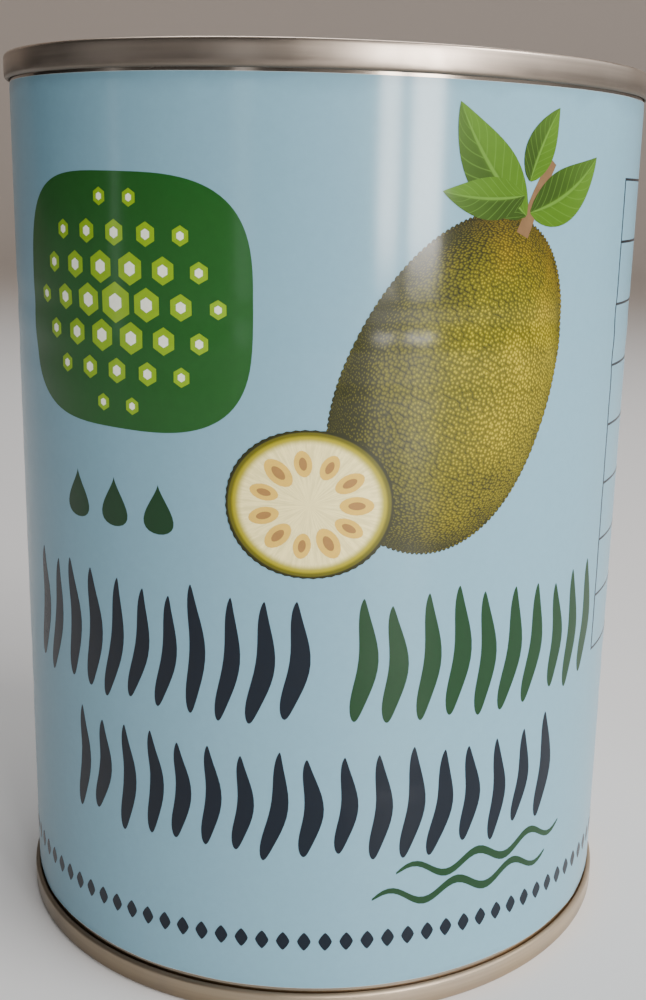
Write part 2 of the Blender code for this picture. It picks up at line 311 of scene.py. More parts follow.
class Nodes:
    """A node tree being drawn, with short ways to add its nodes."""

    def __init__(self, tree):
        self.tree = tree

    def feed(self, socket, value):
        """Links a field to the socket, or sets the socket to a plain value."""
        if isinstance(value, Field):
            self.tree.links.new(value.socket, socket)
        elif socket.type == "RGBA":
            socket.default_value = (*value, 1.0)[:4]
        else:
            socket.default_value = value

    def put(self, kind, inputs=None, output=0, **settings):
        """The output of a new node with these settings, its inputs fed by name or number."""
        node = self.tree.nodes.new(kind)
        for name, value in settings.items():
            setattr(node, name, value)
        for key, value in (inputs or {}).items():
            self.feed(node.inputs[key], value)
        return Field(self, node.outputs[output])

    def maths(self, operation, *values):
        return self.put("ShaderNodeMath", dict(enumerate(values)), operation=operation)

    def vector(self, operation, *values):
        output = "Value" if operation in ("LENGTH", "DOT_PRODUCT") else "Vector"
        return self.put("ShaderNodeVectorMath", dict(enumerate(values)), output, operation=operation)

    def scaled(self, vector, factor):
        return self.put("ShaderNodeVectorMath", {0: vector, "Scale": factor}, operation="SCALE")

    def split(self, vector):
        """The x, y and z of a vector."""
        x = self.put("ShaderNodeSeparateXYZ", {0: vector})
        return x, x.other(1), x.other(2)

    def joined(self, x=0.0, y=0.0, z=0.0):
        return self.put("ShaderNodeCombineXYZ", {0: x, 1: y, 2: z})

    def place(self):
        """Where a shaded point is, in the object's own coordinates."""
        return self.put("ShaderNodeTexCoord", output="Object")

    def flat_place(self):
        """Where a shaded point is on its piece's own UV map."""
        return self.put("ShaderNodeUVMap", uv_map="UVMap")

    def stretched(self, vector, scale, turn=(0.0, 0.0, 0.0)):
        return self.put("ShaderNodeMapping", {"Vector": vector, "Rotation": turn, "Scale": scale})

    def noise(self, place, scale, detail, roughness=0.5, **settings):
        inputs = {"Vector": place, "Scale": scale, "Detail": detail, "Roughness": roughness}
        return self.put("ShaderNodeTexNoise", inputs, **settings)

    def mixed(self, share, first, second, blend="MIX"):
        """Two colours mixed by a share."""
        inputs = {0: share, 6: first, 7: second}
        return self.put("ShaderNodeMix", inputs, 2, data_type="RGBA", blend_type=blend)

    def tinted(self, colour, tint):
        return self.mixed(1.0, colour, tint, "MULTIPLY")

    def dimmed(self, colour, share):
        return self.tinted(colour, self.put("ShaderNodeCombineColor", {0: share, 1: share, 2: share}))

    def use(self, group, inputs=None):
        """A node group placed in this tree, as a dict of its outputs."""
        node = self.tree.nodes.new(self.tree.bl_idname.replace("Tree", "Group"))
        node.node_tree = group()
        for key, value in (inputs or {}).items():
            self.feed(node.inputs[key], value)
        return {socket.name: Field(self, socket) for socket in node.outputs}

    def point(self):
        """Where a point of the geometry is."""
        return self.put("GeometryNodeInputPosition")

    def moved(self, geometry, by):
        return self.put("GeometryNodeTransform", {"Geometry": geometry, "Translation": by})

    def set_points(self, geometry, **places):
        """The geometry with its points at a new Position, or moved by an Offset."""
        return self.put("GeometryNodeSetPosition", {"Geometry": geometry, **places})

    def real_copies(self, points, motif, size, turn=(0.0, 0.0, 0.0)):
        """The motif copied to the points, made real."""
        inputs = {"Points": points, "Instance": motif, "Rotation": turn, "Scale": size}
        return self.real(self.put("GeometryNodeInstanceOnPoints", inputs))

    def real(self, geometry):
        return self.put("GeometryNodeRealizeInstances", {0: geometry})

    def smooth(self, geometry):
        return self.put("GeometryNodeSetShadeSmooth", {"Geometry": geometry, "Shade Smooth": True})

    def coloured(self, geometry, material):
        return self.put("GeometryNodeSetMaterial", {"Geometry": geometry, "Material": material})

    def merged(self, geometry):
        return self.put("GeometryNodeMergeByDistance", {"Geometry": geometry, "Distance": SAME_POINT})

    def chance(self, seed):
        """A random value from -1 to 1 for each point."""
        inputs = {2: -1.0, 3: 1.0, "Seed": seed}
        return self.put("FunctionNodeRandomValue", inputs, 1, data_type="FLOAT")


def socket_kind(default):
    """The kind of socket for a default value, or for a word such as Geometry where it has none."""
    if isinstance(default, str):
        return "NodeSocket" + default
    if isinstance(default, tuple):
        return "NodeSocketVector" if len(default) == 3 else "NodeSocketColor"
    return "NodeSocketInt" if isinstance(default, int) else "NodeSocketFloat"


def drawn_group(draw, kind, inputs, outputs):
    """A node group with these inputs, whose outputs are what the function draws from them."""
    tree = bpy.data.node_groups.new(draw.__name__, kind)
    for name, default in inputs.items():
        socket = tree.interface.new_socket(name=name, in_out="INPUT", socket_type=socket_kind(default))
        if not isinstance(default, str):
            socket.default_value = default
    for name in outputs:
        word = name if name in ("Geometry", "Color") else "Float"
        tree.interface.new_socket(name=name, in_out="OUTPUT", socket_type=socket_kind(word))
    nodes = Nodes(tree)
    given = {socket.name: Field(nodes, socket) for socket in tree.nodes.new("NodeGroupInput").outputs}
    results = draw(nodes, given)
    result_inputs = tree.nodes.new("NodeGroupOutput").inputs
    for name, field in zip(outputs, results if isinstance(results, tuple) else (results,)):
        nodes.feed(result_inputs[name], field)
    return tree


def node_group(kind, inputs, outputs):
    """Makes a drawing function give its node group, drawn the first time that it is asked for."""
    def decorate(draw):
        return lambda: bpy.data.node_groups.get(draw.__name__) or drawn_group(draw, kind, inputs, outputs)
    return decorate


def shader_group(inputs, *outputs):
    return node_group("ShaderNodeTree", inputs, outputs)


def geometry_group(inputs):
    return node_group("GeometryNodeTree", inputs, ("Geometry",))


# Shader groups that several materials share


@shader_group(
    {"Line Scale": 2600.0, "Patch Scale": 60.0, "Scratch Scale": 240.0},
    "Grain", "Patches", "Scratches",
)
def rolled_grain(nodes, given):
    """Fine lines rolled round the metal, with dull patches and a few scratches."""
    place = nodes.place()
    x, y, z = nodes.split(place)
    turn = nodes.maths("ARCTAN2", y, x)
    unrolled = nodes.joined(turn * LINE_STEP, nodes.maths("SQRT", x * x + y * y), z)
    grain = nodes.noise(unrolled, given["Line Scale"], 3.0)
    patches = nodes.noise(place, given["Patch Scale"], 5.0, 0.6)
    slanted = nodes.stretched(place, (1.0, 0.06, 1.0), (0.4, 0.9, 0.3))
    inputs = {"Vector": slanted, "Scale": given["Scratch Scale"]}
    line = nodes.put("ShaderNodeTexVoronoi", inputs, feature="DISTANCE_TO_EDGE").eased(0.0, 0.02, 1.0, 0.0)
    return grain, patches, line * nodes.noise(place, 95.0, 2.0).eased(0.60, 0.72)


@shader_group({"Reach": 0.0005}, "Dirt", "Crown", "Low", "Dull Side", "Upper")
def groove_dirt_and_shade(nodes, given):
    """Masks of the dirt and painted shade in the groove beside the label, the crown's wear and painted
    highlight, the painted shade on the lower part of each seam and on the bottom seam's left side, and the
    upper half.
    """
    place = nodes.place()
    x, _, height = nodes.split(place)
    half = CAN_HEIGHT / 2
    lower, upper = CAN_HEIGHT * 0.3, CAN_HEIGHT * 0.7
    from_middle = nodes.maths("ABSOLUTE", height - half)
    reach = given["Reach"] * nodes.noise(place, 170.0, 3.0).ramped(0.3, 0.7, 0.65, 1.5)
    reach = reach * height.eased(lower, upper, 1.0, 1.7)
    # Dirt and painted shade in the groove between the label and each seam
    dirt_and_shade = (from_middle - (half - SEAM_LENGTH)).eased(0.0, reach, 1.0, 0.0)
    # The crown's wear, with a painted highlight
    crown = from_middle.eased(half - 0.55 * MM, half)
    # Painted shade on the lower part of the top seam, and on the bottom seam towards the table
    top_seam_shade = height.eased(CAN_HEIGHT - SEAM_LENGTH, CAN_HEIGHT - 0.3 * MM, 1.0, 0.0)
    top_seam_shade = top_seam_shade * nodes.maths("GREATER_THAN", height, half)
    low = nodes.maths("MAXIMUM", top_seam_shade, height.eased(0.0, SEAM_LENGTH, 0.65, 0.0))
    # Painted shade on the bottom seam's left side, near the table
    side = x.eased(-SEAM_RADIUS, SEAM_RADIUS, 0.5, -0.05)
    near_table = height.eased(2 * SEAM_LENGTH, 3 * SEAM_LENGTH, 1.0, 0.0)
    return dirt_and_shade, crown, low, side * near_table, height.eased(lower, upper)


@shader_group({"Swell": 0.00013, "Ripple": 0.00004, "Tooth": 0.0000012}, "Height", "Mottle")
def paper_relief(nodes, given):
    """The swell of glued paper, its fine tooth, and faint differences in the print's strength."""
    place = nodes.place()
    swell = nodes.noise(nodes.stretched(place, (1.0, 1.0, 0.45)), 55.0, 2.0)
    tooth = nodes.noise(place, 2800.0, 2.0)
    ripple = nodes.noise(place, 150.0, 3.0)
    height = swell * given["Swell"] + tooth * given["Tooth"] + ripple * given["Ripple"]
    return height, nodes.noise(place, 900.0, 3.0, 0.7)


@shader_group(
    {
        "Half Width": 13.0,
        "Half Length": 20.0,
        "Spikes per mm": 1.9,
        "Groove": (0.02, 0.03, 0.01, 1.0),
        "Skin": (0.15, 0.15, 0.02, 1.0),
        "Tip": (0.4, 0.36, 0.05, 1.0),
    },
    "Color",
)
def fruit_skin(nodes, given):
    """The picture of a spiky skin on a rounded fruit, from a UV map whose outline is a unit circle."""
    x, y, _ = nodes.split(nodes.flat_place())
    radius = nodes.maths("SQRT", nodes.maths("MINIMUM", x * x + y * y, 0.998))
    towards = nodes.maths("SQRT", 1.0 - radius * radius)
    stretch = nodes.maths("ARCSINE", radius) / nodes.maths("MAXIMUM", radius, 0.001)
    skin_place = nodes.joined(x * stretch * given["Half Width"], y * stretch * given["Half Length"])
    spikes = given["Spikes per mm"]
    inputs = {"Vector": skin_place, "Scale": spikes, "Randomness": 0.72}
    cell = nodes.put("ShaderNodeTexVoronoi", inputs, "Position", voronoi_dimensions="2D")
    slope = nodes.vector("SUBTRACT", nodes.scaled(skin_place, spikes), nodes.scaled(cell, spikes))
    lit_side = nodes.vector("DOT_PRODUCT", slope, (0.42, 0.80, 0.0))
    spike = cell.other("Distance").eased(0.10, 0.56, 1.0, 0.0)
    tip = nodes.vector("LENGTH", nodes.vector("SUBTRACT", slope, (0.05, 0.12, 0.0)))
    tip = tip.eased(0.05, 0.34, 0.15, 0.0)
    round_light = nodes.vector("DOT_PRODUCT", nodes.joined(x, y, towards), (0.46, 0.22, 0.86))
    patches = nodes.noise(skin_place, 0.14, 4.0, 0.6, noise_dimensions="2D")
    level = round_light.ramped(0.0, 1.0, 0.02, 0.66) + tip + lit_side * 0.30
    level = level + (spike - 0.5) * 0.36 + (patches - 0.5) * 0.50
    low = nodes.mixed(level.eased(0.0, 0.5), given["Groove"], given["Skin"])
    skin = nodes.mixed(level.eased(0.5, 1.05), low, given["Tip"])
    ripe = (x + patches * 0.9).eased(0.35, 1.1, 0.0, 0.75)
    skin = nodes.mixed(ripe, skin, nodes.tinted(skin, (1.32, 1.18, 0.8)))
    crown = (y + patches * 0.5).eased(0.75, 1.25, 0.0, 0.8)
    return nodes.mixed(crown, skin, nodes.tinted(skin, (1.02, 0.74, 0.62)))


# Materials


class Finish(Nodes):
    """A new material, drawn round its Principled shader."""

    def __init__(self, name):
        self.material = bpy.data.materials.new(name)
        self.material.use_nodes = True
        super().__init__(self.material.node_tree)
        self.shader = self.tree.nodes["Principled BSDF"]

    def shaded(self, inputs, relief=None, strength=1.0, distance=1.0):
        """The material, with its shader's inputs fed, and bumps from a relief."""
        if relief:
            bump = {"Strength": strength, "Distance": distance, "Height": relief}
            inputs["Normal"] = self.put("ShaderNodeBump", bump)
        for name, value in inputs.items():
            self.feed(self.shader.inputs[name], value)
        return self.material


def shade_of(colour, factor, lift=0.0):
    """A darker or lighter shade of a colour."""
    return tuple(min(1.0, part * factor + lift) for part in colour)


def tinplate_material(name, settings, weld=False):
    """Satin tinplate with rolled lines, dull patches and hairline scratches, dirt and painted shade beside
    its seams, painted shade on each seam's lower part and the bottom seam's left side, and a worn crown with
    a painted highlight.
    """
    finish = Finish(name)
    grain = finish.use(rolled_grain)
    groove = finish.use(groove_dirt_and_shade)
    x, y, height = finish.split(finish.place())
    base = settings.tinplate
    colour = finish.mixed(height.eased(1.0 * MM, 8.0 * MM), settings.tarnish, base)
    colour = finish.mixed(grain["Patches"].eased(0.42, 0.72, 0.0, 0.7), colour, shade_of(base, 0.82))
    # Worn crown, lightened as a painted highlight
    colour = finish.mixed(groove["Crown"] * 0.6, colour, shade_of(base, 1.3))
    # Painted shade on each seam's lower part and on the bottom seam's left side
    painted_shade_share = groove["Low"].eased(0.0, 1.0, 1.0, 0.55) * (1.0 - groove["Dull Side"])
    colour = finish.dimmed(colour, painted_shade_share * grain["Grain"].ramped(0.3, 0.7, 0.94, 1.06))
    # Dirt and painted shade in the groove beside the label
    dirt_and_shade_share = groove["Dirt"] * groove["Upper"].eased(0.0, 1.0, 0.35, 0.3 if weld else 0.7)
    colour = finish.mixed(dirt_and_shade_share, colour, settings.stain)
    roughness = settings.body_roughness if weld else settings.roughness
    rough = grain["Patches"].eased(0.3, 0.7, roughness - 0.05, roughness + 0.08)
    rough = rough + grain["Scratches"] * 0.10 + grain["Grain"] * 0.05
    rough = rough - groove["Crown"] * 0.10 + groove["Dirt"] * (0.0 if weld else 0.25)
    if weld:
        beside = finish.maths("ABSOLUTE", x).eased(0.5 * MM, 0.8 * MM, 1.0, 0.0)
        line = beside * finish.maths("GREATER_THAN", y, 0.0)
        colour = finish.mixed(line * 0.7, colour, (0.12, 0.11, 0.11))
        rough = rough + line * 0.2
    relief = grain["Grain"] * 0.000004 + grain["Patches"] * 0.00005 - grain["Scratches"] * 0.000003
    return finish.shaded({"Metallic": 1.0, "Base Color": colour, "Roughness": rough}, relief, 0.7)


def coated(finish, colour, settings, unevenness):
    """The material of a paper or an ink, with its varnish, relief and mottle."""
    paper = finish.use(paper_relief)
    share = paper["Mottle"].ramped(0.3, 0.7, 1.0 - unevenness, 1.0 + unevenness)
    inputs = {
        "Base Color": finish.dimmed(colour, share),
        "Roughness": 0.5,
        "Specular IOR Level": 0.05,
        "Coat Weight": settings.gloss,
        "Coat Roughness": settings.varnish_roughness,
    }
    return finish.shaded(inputs, paper["Height"], 0.8)


def paper_material(name, settings):
    """Coated paper, printed on its outside, bare at its cut edges, with a painted shadow under the top seam.
    """
    finish = Finish(name)
    place = finish.place()
    height = finish.split(place)[2]
    from_high = LABEL_HIGH - height
    near_edge = finish.maths("MINIMUM", height - LABEL_LOW, from_high).eased(0.005 * MM, 0.03 * MM, 1.0, 0.0)
    # Painted shadow of the top seam on the paper below it
    seam_shadow_reach = finish.noise(place, 120.0, 2.0).eased(0.35, 0.65, 1.2 * MM, 3.0 * MM)
    colour = finish.dimmed(settings.paper, from_high.eased(0.0, seam_shadow_reach, 0.85, 1.0))
    return coated(finish, finish.mixed(near_edge, colour, settings.edge), settings, 0.02)


def plain_ink(name, colour, unevenness=0.05):
    """An ink of one of the print's colours."""
    scene = bpy.context.scene
    return coated(Finish(name), getattr(scene.food_can_print, colour), scene.food_can_label, unevenness)


def skin_material(name, inks, settings, half_width, half_length):
    """The printed skin of the whole fruit."""
    finish = Finish(name)
    inputs = {
        "Half Width": half_width / MM,
        "Half Length": half_length / MM,
        "Groove": inks.skin_dark,
        "Skin": inks.skin_mid,
        "Tip": inks.skin_light,
    }
    return coated(finish, finish.use(fruit_skin, inputs)["Color"], settings, 0.03)


def leaf_material(name, inks, settings):
    """A printed leaf with a pale midrib and side veins, from its own UV map."""
    finish = Finish(name)
    across, along, _ = finish.split(finish.flat_place())
    aside = finish.maths("ABSOLUTE", across)
    midrib = aside.eased(0.03, 0.10, 1.0, 0.0)
    vein = finish.maths("PINGPONG", along * 9.0 - aside * 2.2, 0.5).eased(0.0, 0.10, 0.6, 0.0)
    light = shade_of(inks.leaf, 1.7, 0.02)
    colour = finish.mixed(across.eased(-0.25, 0.25), shade_of(inks.leaf, 0.40), inks.leaf)
    colour = finish.mixed(along.eased(0.2, 1.0, 0.0, 0.30), colour, light)
    colour = finish.mixed(finish.maths("MAXIMUM", midrib, vein) * 0.75, colour, light)
    return coated(finish, colour, settings, 0.04)


def flesh_material(name, inks, settings):
    """A printed cut face: rind outside, pale flesh with fibres that run out from the core."""
    finish = Finish(name)
    flat = finish.flat_place()
    x, y, _ = finish.split(flat)
    radius = finish.vector("LENGTH", flat)
    rays = finish.joined(finish.maths("ARCTAN2", y, x) * 9.0, radius * 1.5)
    fibre = finish.noise(rays, 1.6, 4.0, 0.65, noise_dimensions="2D")
    colour = finish.mixed(fibre.eased(0.35, 0.65), inks.flesh, shade_of(inks.flesh, 1.18, 0.03))
    rind = ((0.80, 0.90, inks.skin_light), (0.90, 0.95, inks.skin_mid), (0.965, 0.99, inks.skin_dark))
    for inner, outer, skin in rind:
        colour = finish.mixed(radius.eased(inner, outer), colour, skin)
    return coated(finish, colour, settings, 0.03)


def lining_material(name, settings):
    """Dull rubber-like lining compound."""
    finish = Finish(name)
    cloud = finish.noise(finish.place(), 700.0, 3.0)
    colour = finish.mixed(cloud, shade_of(settings.lining, 0.75), settings.lining)
    return finish.shaded({"Base Color": colour, "Roughness": 0.7}, cloud, 0.4, 0.00002)


def fruit_material(name, settings):
    """Wet young fruit with fibres."""
    finish = Finish(name)
    grain = finish.noise(finish.stretched(finish.place(), (1.0, 1.0, 5.0)), 260.0, 5.0, 0.6)
    inputs = {
        "Base Color": finish.mixed(grain.eased(0.35, 0.65), settings.core, settings.fruit),
        "Roughness": 0.45,
        "Subsurface Weight": 0.2,
        "Subsurface Radius": (0.002, 0.0015, 0.0008),
    }
    return finish.shaded(inputs, grain, 0.6, 0.0002)


def water_material(name, settings):
    """Slightly cloudy packing water."""
    finish = Finish(name)
    cloud = finish.noise(finish.place(), 40.0, 2.0)
    colour = finish.mixed(cloud, shade_of(settings.water, 0.9), settings.water)
    inputs = {"Base Color": colour, "Roughness": 0.06, "Transmission Weight": 0.85, "IOR": 1.333}
    return finish.shaded(inputs)


def floor_material(name, settings):
    """A pale floor with painted shade that darkens it into the backdrop, as light falls off with distance."""
    finish = Finish(name)
    place = finish.place()
    colour = finish.mixed(finish.noise(place, 6.0, 4.0), shade_of(settings.floor, 0.96), settings.floor)
    # Painted shade: the floor darkens with distance into the backdrop's colour
    colour = finish.mixed(finish.split(place)[1].eased(0.35, 1.15), colour, settings.backdrop)
    return finish.shaded({"Base Color": colour, "Roughness": 0.5})


# Geometry groups


# What every print is given: the top of its film, the paper's dip and its ink
FILM = {"Top": INK_LAYER[0], "Dip": 0.0, "Ink": "Material"}


@geometry_group({
    "Geometry": "Geometry",
    "Radius": LABEL_RADIUS,
    "Dip": 0.0,
    "Edge Press": 0.0,
    "Overlap Rise": LABEL_OVERLAP_RISE,
})
def wrap_on_label(nodes, given):
    """Wraps flat print, x round the label and y up it and z off it, on the can."""
    x, y, z = nodes.split(nodes.point())
    turn = x / given["Radius"]
    low = BEADS_MIDDLE - BEAD_COUNT * BEAD_PITCH / 2
    high = 2 * BEADS_MIDDLE - low
    wave = nodes.maths("COSINE", (y - low) * (math.tau / BEAD_PITCH))
    soft_low = y.eased(low, low + BEAD_PITCH / 2)
    soft_high = y.eased(high - BEAD_PITCH / 2, high, 1.0, 0.0)
    end_low = y.eased(low + BEAD_PITCH, low + 2.5 * BEAD_PITCH, 1.0, 0.30)
    end_high = y.eased(high - 2.5 * BEAD_PITCH, high - BEAD_PITCH, 0.30, 1.0)
    strength = nodes.maths("MAXIMUM", end_low, end_high) * (soft_low * soft_high)
    uneven = nodes.noise(nodes.joined(turn, y * DIP_CHANGES), 1.3, 1.0).eased(0.3, 0.7, 0.35, 1.25)
    sunk = (1.0 - wave) * 0.5 * (strength * uneven) * given["Dip"]
    from_edge = nodes.maths("MINIMUM", y - LABEL_LOW, LABEL_HIGH - y)
    patchy = nodes.noise(nodes.joined(turn, y), 3.1, 1.0).eased(0.40, 0.60, 0.15, 1.0)
    pressed = from_edge.eased(0.0, PRESSED_BAND, 1.0, 0.0) * patchy * given["Edge Press"]
    rise = turn.eased(math.radians(OVERLAP_START), math.pi) * given["Overlap Rise"]
    out = given["Radius"] + z + rise - (pressed + sunk)
    wrapped = nodes.joined(out * nodes.maths("SINE", turn), out * (nodes.maths("COSINE", turn) * -1.0), y)
    return nodes.set_points(given["Geometry"], Position=wrapped)


@geometry_group({"Geometry": "Geometry", "Root": INK_ROOT, "Edge Press": 0.0, **FILM})
def ink_film(nodes, given):
    """Makes a flat sheet at z = 0 a closed film between two heights, wraps it and gives it its ink."""
    low = nodes.moved(given["Geometry"], nodes.joined(z=given["Root"]))
    up = nodes.joined(z=given["Top"] - given["Root"])
    inputs = {"Mesh": low, "Offset": up, "Offset Scale": 1.0, "Individual": False}
    grown = nodes.put("GeometryNodeExtrudeMesh", inputs, "Mesh", mode="FACES")
    both = nodes.put("GeometryNodeJoinGeometry", {0: grown})
    nodes.feed(both.socket.node.inputs[0], nodes.put("GeometryNodeFlipFaces", {0: low}))
    inputs = {"Geometry": nodes.merged(both), "Dip": given["Dip"], "Edge Press": given["Edge Press"]}
    return nodes.coloured(nodes.real(nodes.use(wrap_on_label, inputs)["Geometry"]), given["Ink"])


def inked(nodes, given, flat):
    """Flat shapes turned into films of ink."""
    return nodes.use(ink_film, {"Geometry": flat, **{name: given[name] for name in FILM}})["Geometry"]


@geometry_group({
    "Motif": "Geometry",
    "Count": 8,
    "Start": (0.0, 0.0, 0.0),
    "Pitch": (0.004, 0.0, 0.0),
    "Tilt": 0.0,
    "Tilt Spread": 0.0,
    "Size Spread": 0.0,
    "Shift Spread": 0.0,
    "Seed": 1,
    **FILM,
})
def ink_row(nodes, given):
    """A row of one flat motif, unevenly tilted and sized as if drawn by hand."""
    inputs = {"Count": given["Count"], "Start Location": given["Start"], "Offset": given["Pitch"]}
    line = nodes.put("GeometryNodeMeshLine", inputs, mode="OFFSET", count_mode="TOTAL")

    def spread(amount, draw, around=0.0):
        return nodes.chance(given["Seed"] + draw) * given[amount] + around

    shift = nodes.joined(spread("Shift Spread", 3) * 0.4, spread("Shift Spread", 4))
    tilt = nodes.joined(z=spread("Tilt Spread", 1) + given["Tilt"])
    size = nodes.joined(spread("Size Spread", 5, 1.0), spread("Size Spread", 2, 1.0), 1.0)
    placed = nodes.set_points(line, Offset=shift)
    return inked(nodes, given, nodes.real_copies(placed, given["Motif"], size, tilt))


@geometry_group({
    "Motif": "Geometry",
    "Centre": (0.0, 0.0, 0.0),
    "Pitch": 0.003,
    "Half Width": 0.012,
    "Half Height": 0.010,
    **FILM,
})
def ink_lattice(nodes, given):
    """A hexagonal lattice of one motif that shrinks away from its middle and stays inside an oval."""
    inputs = {"Size X": GRID, "Size Y": GRID, "Vertices X": GRID + 1, "Vertices Y": GRID + 1}
    grid = nodes.put("GeometryNodeMeshGrid", inputs)
    column, row, _ = nodes.split(nodes.point())
    odd = nodes.maths("ROUND", nodes.maths("MODULO", row + GRID / 2, 2.0))
    pitch = given["Pitch"]
    hexagonal = nodes.joined((column + odd * 0.5) * pitch, row * (pitch * (math.sqrt(3) / 2)))
    spaced = nodes.set_points(grid, Position=hexagonal)
    x, y, _ = nodes.split(nodes.point())
    wide = nodes.maths("POWER", nodes.maths("ABSOLUTE", x / given["Half Width"]), 2.0)
    high = nodes.maths("POWER", nodes.maths("ABSOLUTE", y / given["Half Height"]), 2.0)
    reach = nodes.maths("SQRT", wide + high)
    inputs = {"Geometry": spaced, "Selection": nodes.maths("GREATER_THAN", reach, 1.0)}
    kept = nodes.put("GeometryNodeDeleteGeometry", inputs, domain="POINT")
    size = reach.ramped(0.0, 1.0, 1.0, 0.4)
    copies = nodes.real_copies(kept, given["Motif"], nodes.joined(size, size, 1.0))
    return inked(nodes, given, nodes.moved(copies, given["Centre"]))


@geometry_group({
    "Motif": "Geometry",
    "Centre": (0.0, 0.0, 0.0),
    "Count": 9,
    "Ring Radius": 0.006,
    "Squash": 1.0,
    "Size Spread": 0.12,
    "Seed": 1,
    **FILM,
})
def ink_ring(nodes, given):
    """Copies of one motif in a ring, each pointing away from the middle."""
    inputs = {"Vertices": given["Count"], "Radius": given["Ring Radius"]}
    ring = nodes.put("GeometryNodeMeshCircle", inputs)
    x, y, _ = nodes.split(nodes.point())
    aim = nodes.joined(z=nodes.maths("ARCTAN2", y, x) - math.pi / 2)
    size = nodes.chance(given["Seed"]) * given["Size Spread"] + 1.0
    copies = nodes.real_copies(ring, given["Motif"], nodes.joined(size, size, 1.0), aim)
    inputs = {"Geometry": copies, "Scale": nodes.joined(1.0, given["Squash"], 1.0)}
    return inked(nodes, given, nodes.moved(nodes.put("GeometryNodeTransform", inputs), given["Centre"]))


@geometry_group({"Outline": "Geometry", "Sweep Radius": 0.04, "Segments": 256, "Material": "Material"})
def swept_outline(nodes, given):
    """Sweeps a closed outline, x away from the sweep circle and y down, round the can's axis."""
    outline = nodes.put("GeometryNodeMeshToCurve", {0: given["Outline"]})
    inputs = {"Resolution": given["Segments"], "Radius": given["Sweep Radius"]}
    circle = nodes.put("GeometryNodeCurvePrimitiveCircle", inputs, mode="RADIUS")
    swept = nodes.put("GeometryNodeCurveToMesh", {"Curve": circle, "Profile Curve": outline})
    return nodes.coloured(nodes.smooth(nodes.real(nodes.merged(swept))), given["Material"])


@geometry_group({"Geometry": "Geometry", "Depth": 0.0003, "Material": "Material"})
def fruit_flesh(nodes, given):
    """Roughens a block of fruit along its fibres."""
    place = nodes.point()
    fibre = nodes.noise(nodes.vector("MULTIPLY", place, (1.0, 1.0, 3.5)), 260.0, 3.0)
    lump = nodes.noise(place, 90.0, 2.0)
    amount = (fibre * -1.0 + lump * -1.4 + 0.6) * given["Depth"]
    push = nodes.scaled(nodes.put("GeometryNodeInputNormal"), amount)
    rough = nodes.set_points(given["Geometry"], Offset=push)
    return nodes.coloured(nodes.smooth(nodes.real(rough)), given["Material"])


# Making plain meshes


def linked(name, data):
    item = bpy.data.objects.new(name, data)
    bpy.context.scene.collection.objects.link(item)
    return item


def mesh_of(name, shape):
    """The bmesh as a new mesh, and the bmesh freed."""
    mesh = bpy.data.meshes.new(name)
    shape.to_mesh(mesh)
    shape.free()
    return mesh


def bridge(shape, rows):
    """Joins rows of vertices by four-sided faces."""
    for low, high in zip(rows, rows[1:]):
        for column in range(len(low) - 1):
            shape.faces.new((low[column], low[column + 1], high[column + 1], high[column]))


def evaluated_mesh(item):
    """The item's mesh as its modifiers leave it, and the item removed."""
    graph = bpy.context.evaluated_depsgraph_get()
    mesh = bpy.data.meshes.new_from_object(item.evaluated_get(graph))
    source = item.data
    item.modifiers.clear()
    bpy.data.objects.remove(item)
    bpy.data.meshes.remove(source)
    return mesh


def grown_mesh(name, source, group, inputs):
    """The node group run on the source mesh, as a plain mesh object of that name."""
    seedling = linked(name + "_flat", source)
    modifier = seedling.modifiers.new("grow", "NODES")
    modifier.node_group = group()
    for socket in modifier.node_group.interface.items_tree:
        if socket.in_out == "INPUT" and socket.name in inputs:
            modifier[socket.identifier] = inputs[socket.name]
    mesh = evaluated_mesh(seedling)
    mesh.name = name
    return linked(name, mesh)


def sharp_fold(piece):
    """Shades the piece smooth but for its folds."""
    piece.data.shade_smooth()
    piece.data.set_sharp_from_angle(angle=FOLD_ANGLE)


def on_can(piece, slot, *nodes):
    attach(piece, BODY)
    if nodes:
        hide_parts(*nodes)


def outward(mesh):
    """Turns a closed mesh's faces outwards."""
    shape = bmesh.new()
    shape.from_mesh(mesh)
    if shape.calc_volume(signed=True) < 0:
        bmesh.ops.reverse_faces(shape, faces=shape.faces)
    shape.to_mesh(mesh)
    shape.free()


def rounded(corners, steps):
    """A polyline through (radius, height, bend) corners, each bend an arc of steps chords."""
    line = []
    for index, (radius, height, bend) in enumerate(corners):
        here = Vector((radius, height))
        if bend == 0:
            line.append(here)
            continue
        before = (Vector(corners[index - 1][:2]) - here).normalized()
        after = (Vector(corners[index + 1][:2]) - here).normalized()
        half_angle = before.angle(after) / 2
        reach = bend / math.tan(half_angle)
        start = here + before * reach
        centre = here + (before + after).normalized() * bend / math.sin(half_angle)
        turn = (start - centre).angle_signed(here + after * reach - centre)
        meets_last = bool(line) and (line[-1] - start).length < SAME_POINT
        for step in range(int(meets_last), steps + 1):
            spoke = start - centre
            spoke.rotate(Matrix.Rotation(-turn * step / steps, 2))
            line.append(centre + spoke)
    return line


def offset(line, distance):
    """The line moved sideways, to its left, with each corner mitred."""
    moved = []
    last = len(line) - 1
    for index, point in enumerate(line):
        ahead = line[min(index + 1, last)] - line[min(index, last - 1)]
        behind = line[max(index, 1)] - line[max(index - 1, 0)]
        left_ahead = Vector((-ahead.y, ahead.x)).normalized()
        left_behind = Vector((-behind.y, behind.x)).normalized()
        mitre = (left_ahead + left_behind).normalized()
        moved.append(point + mitre * distance / mitre.dot(left_ahead))
    return moved


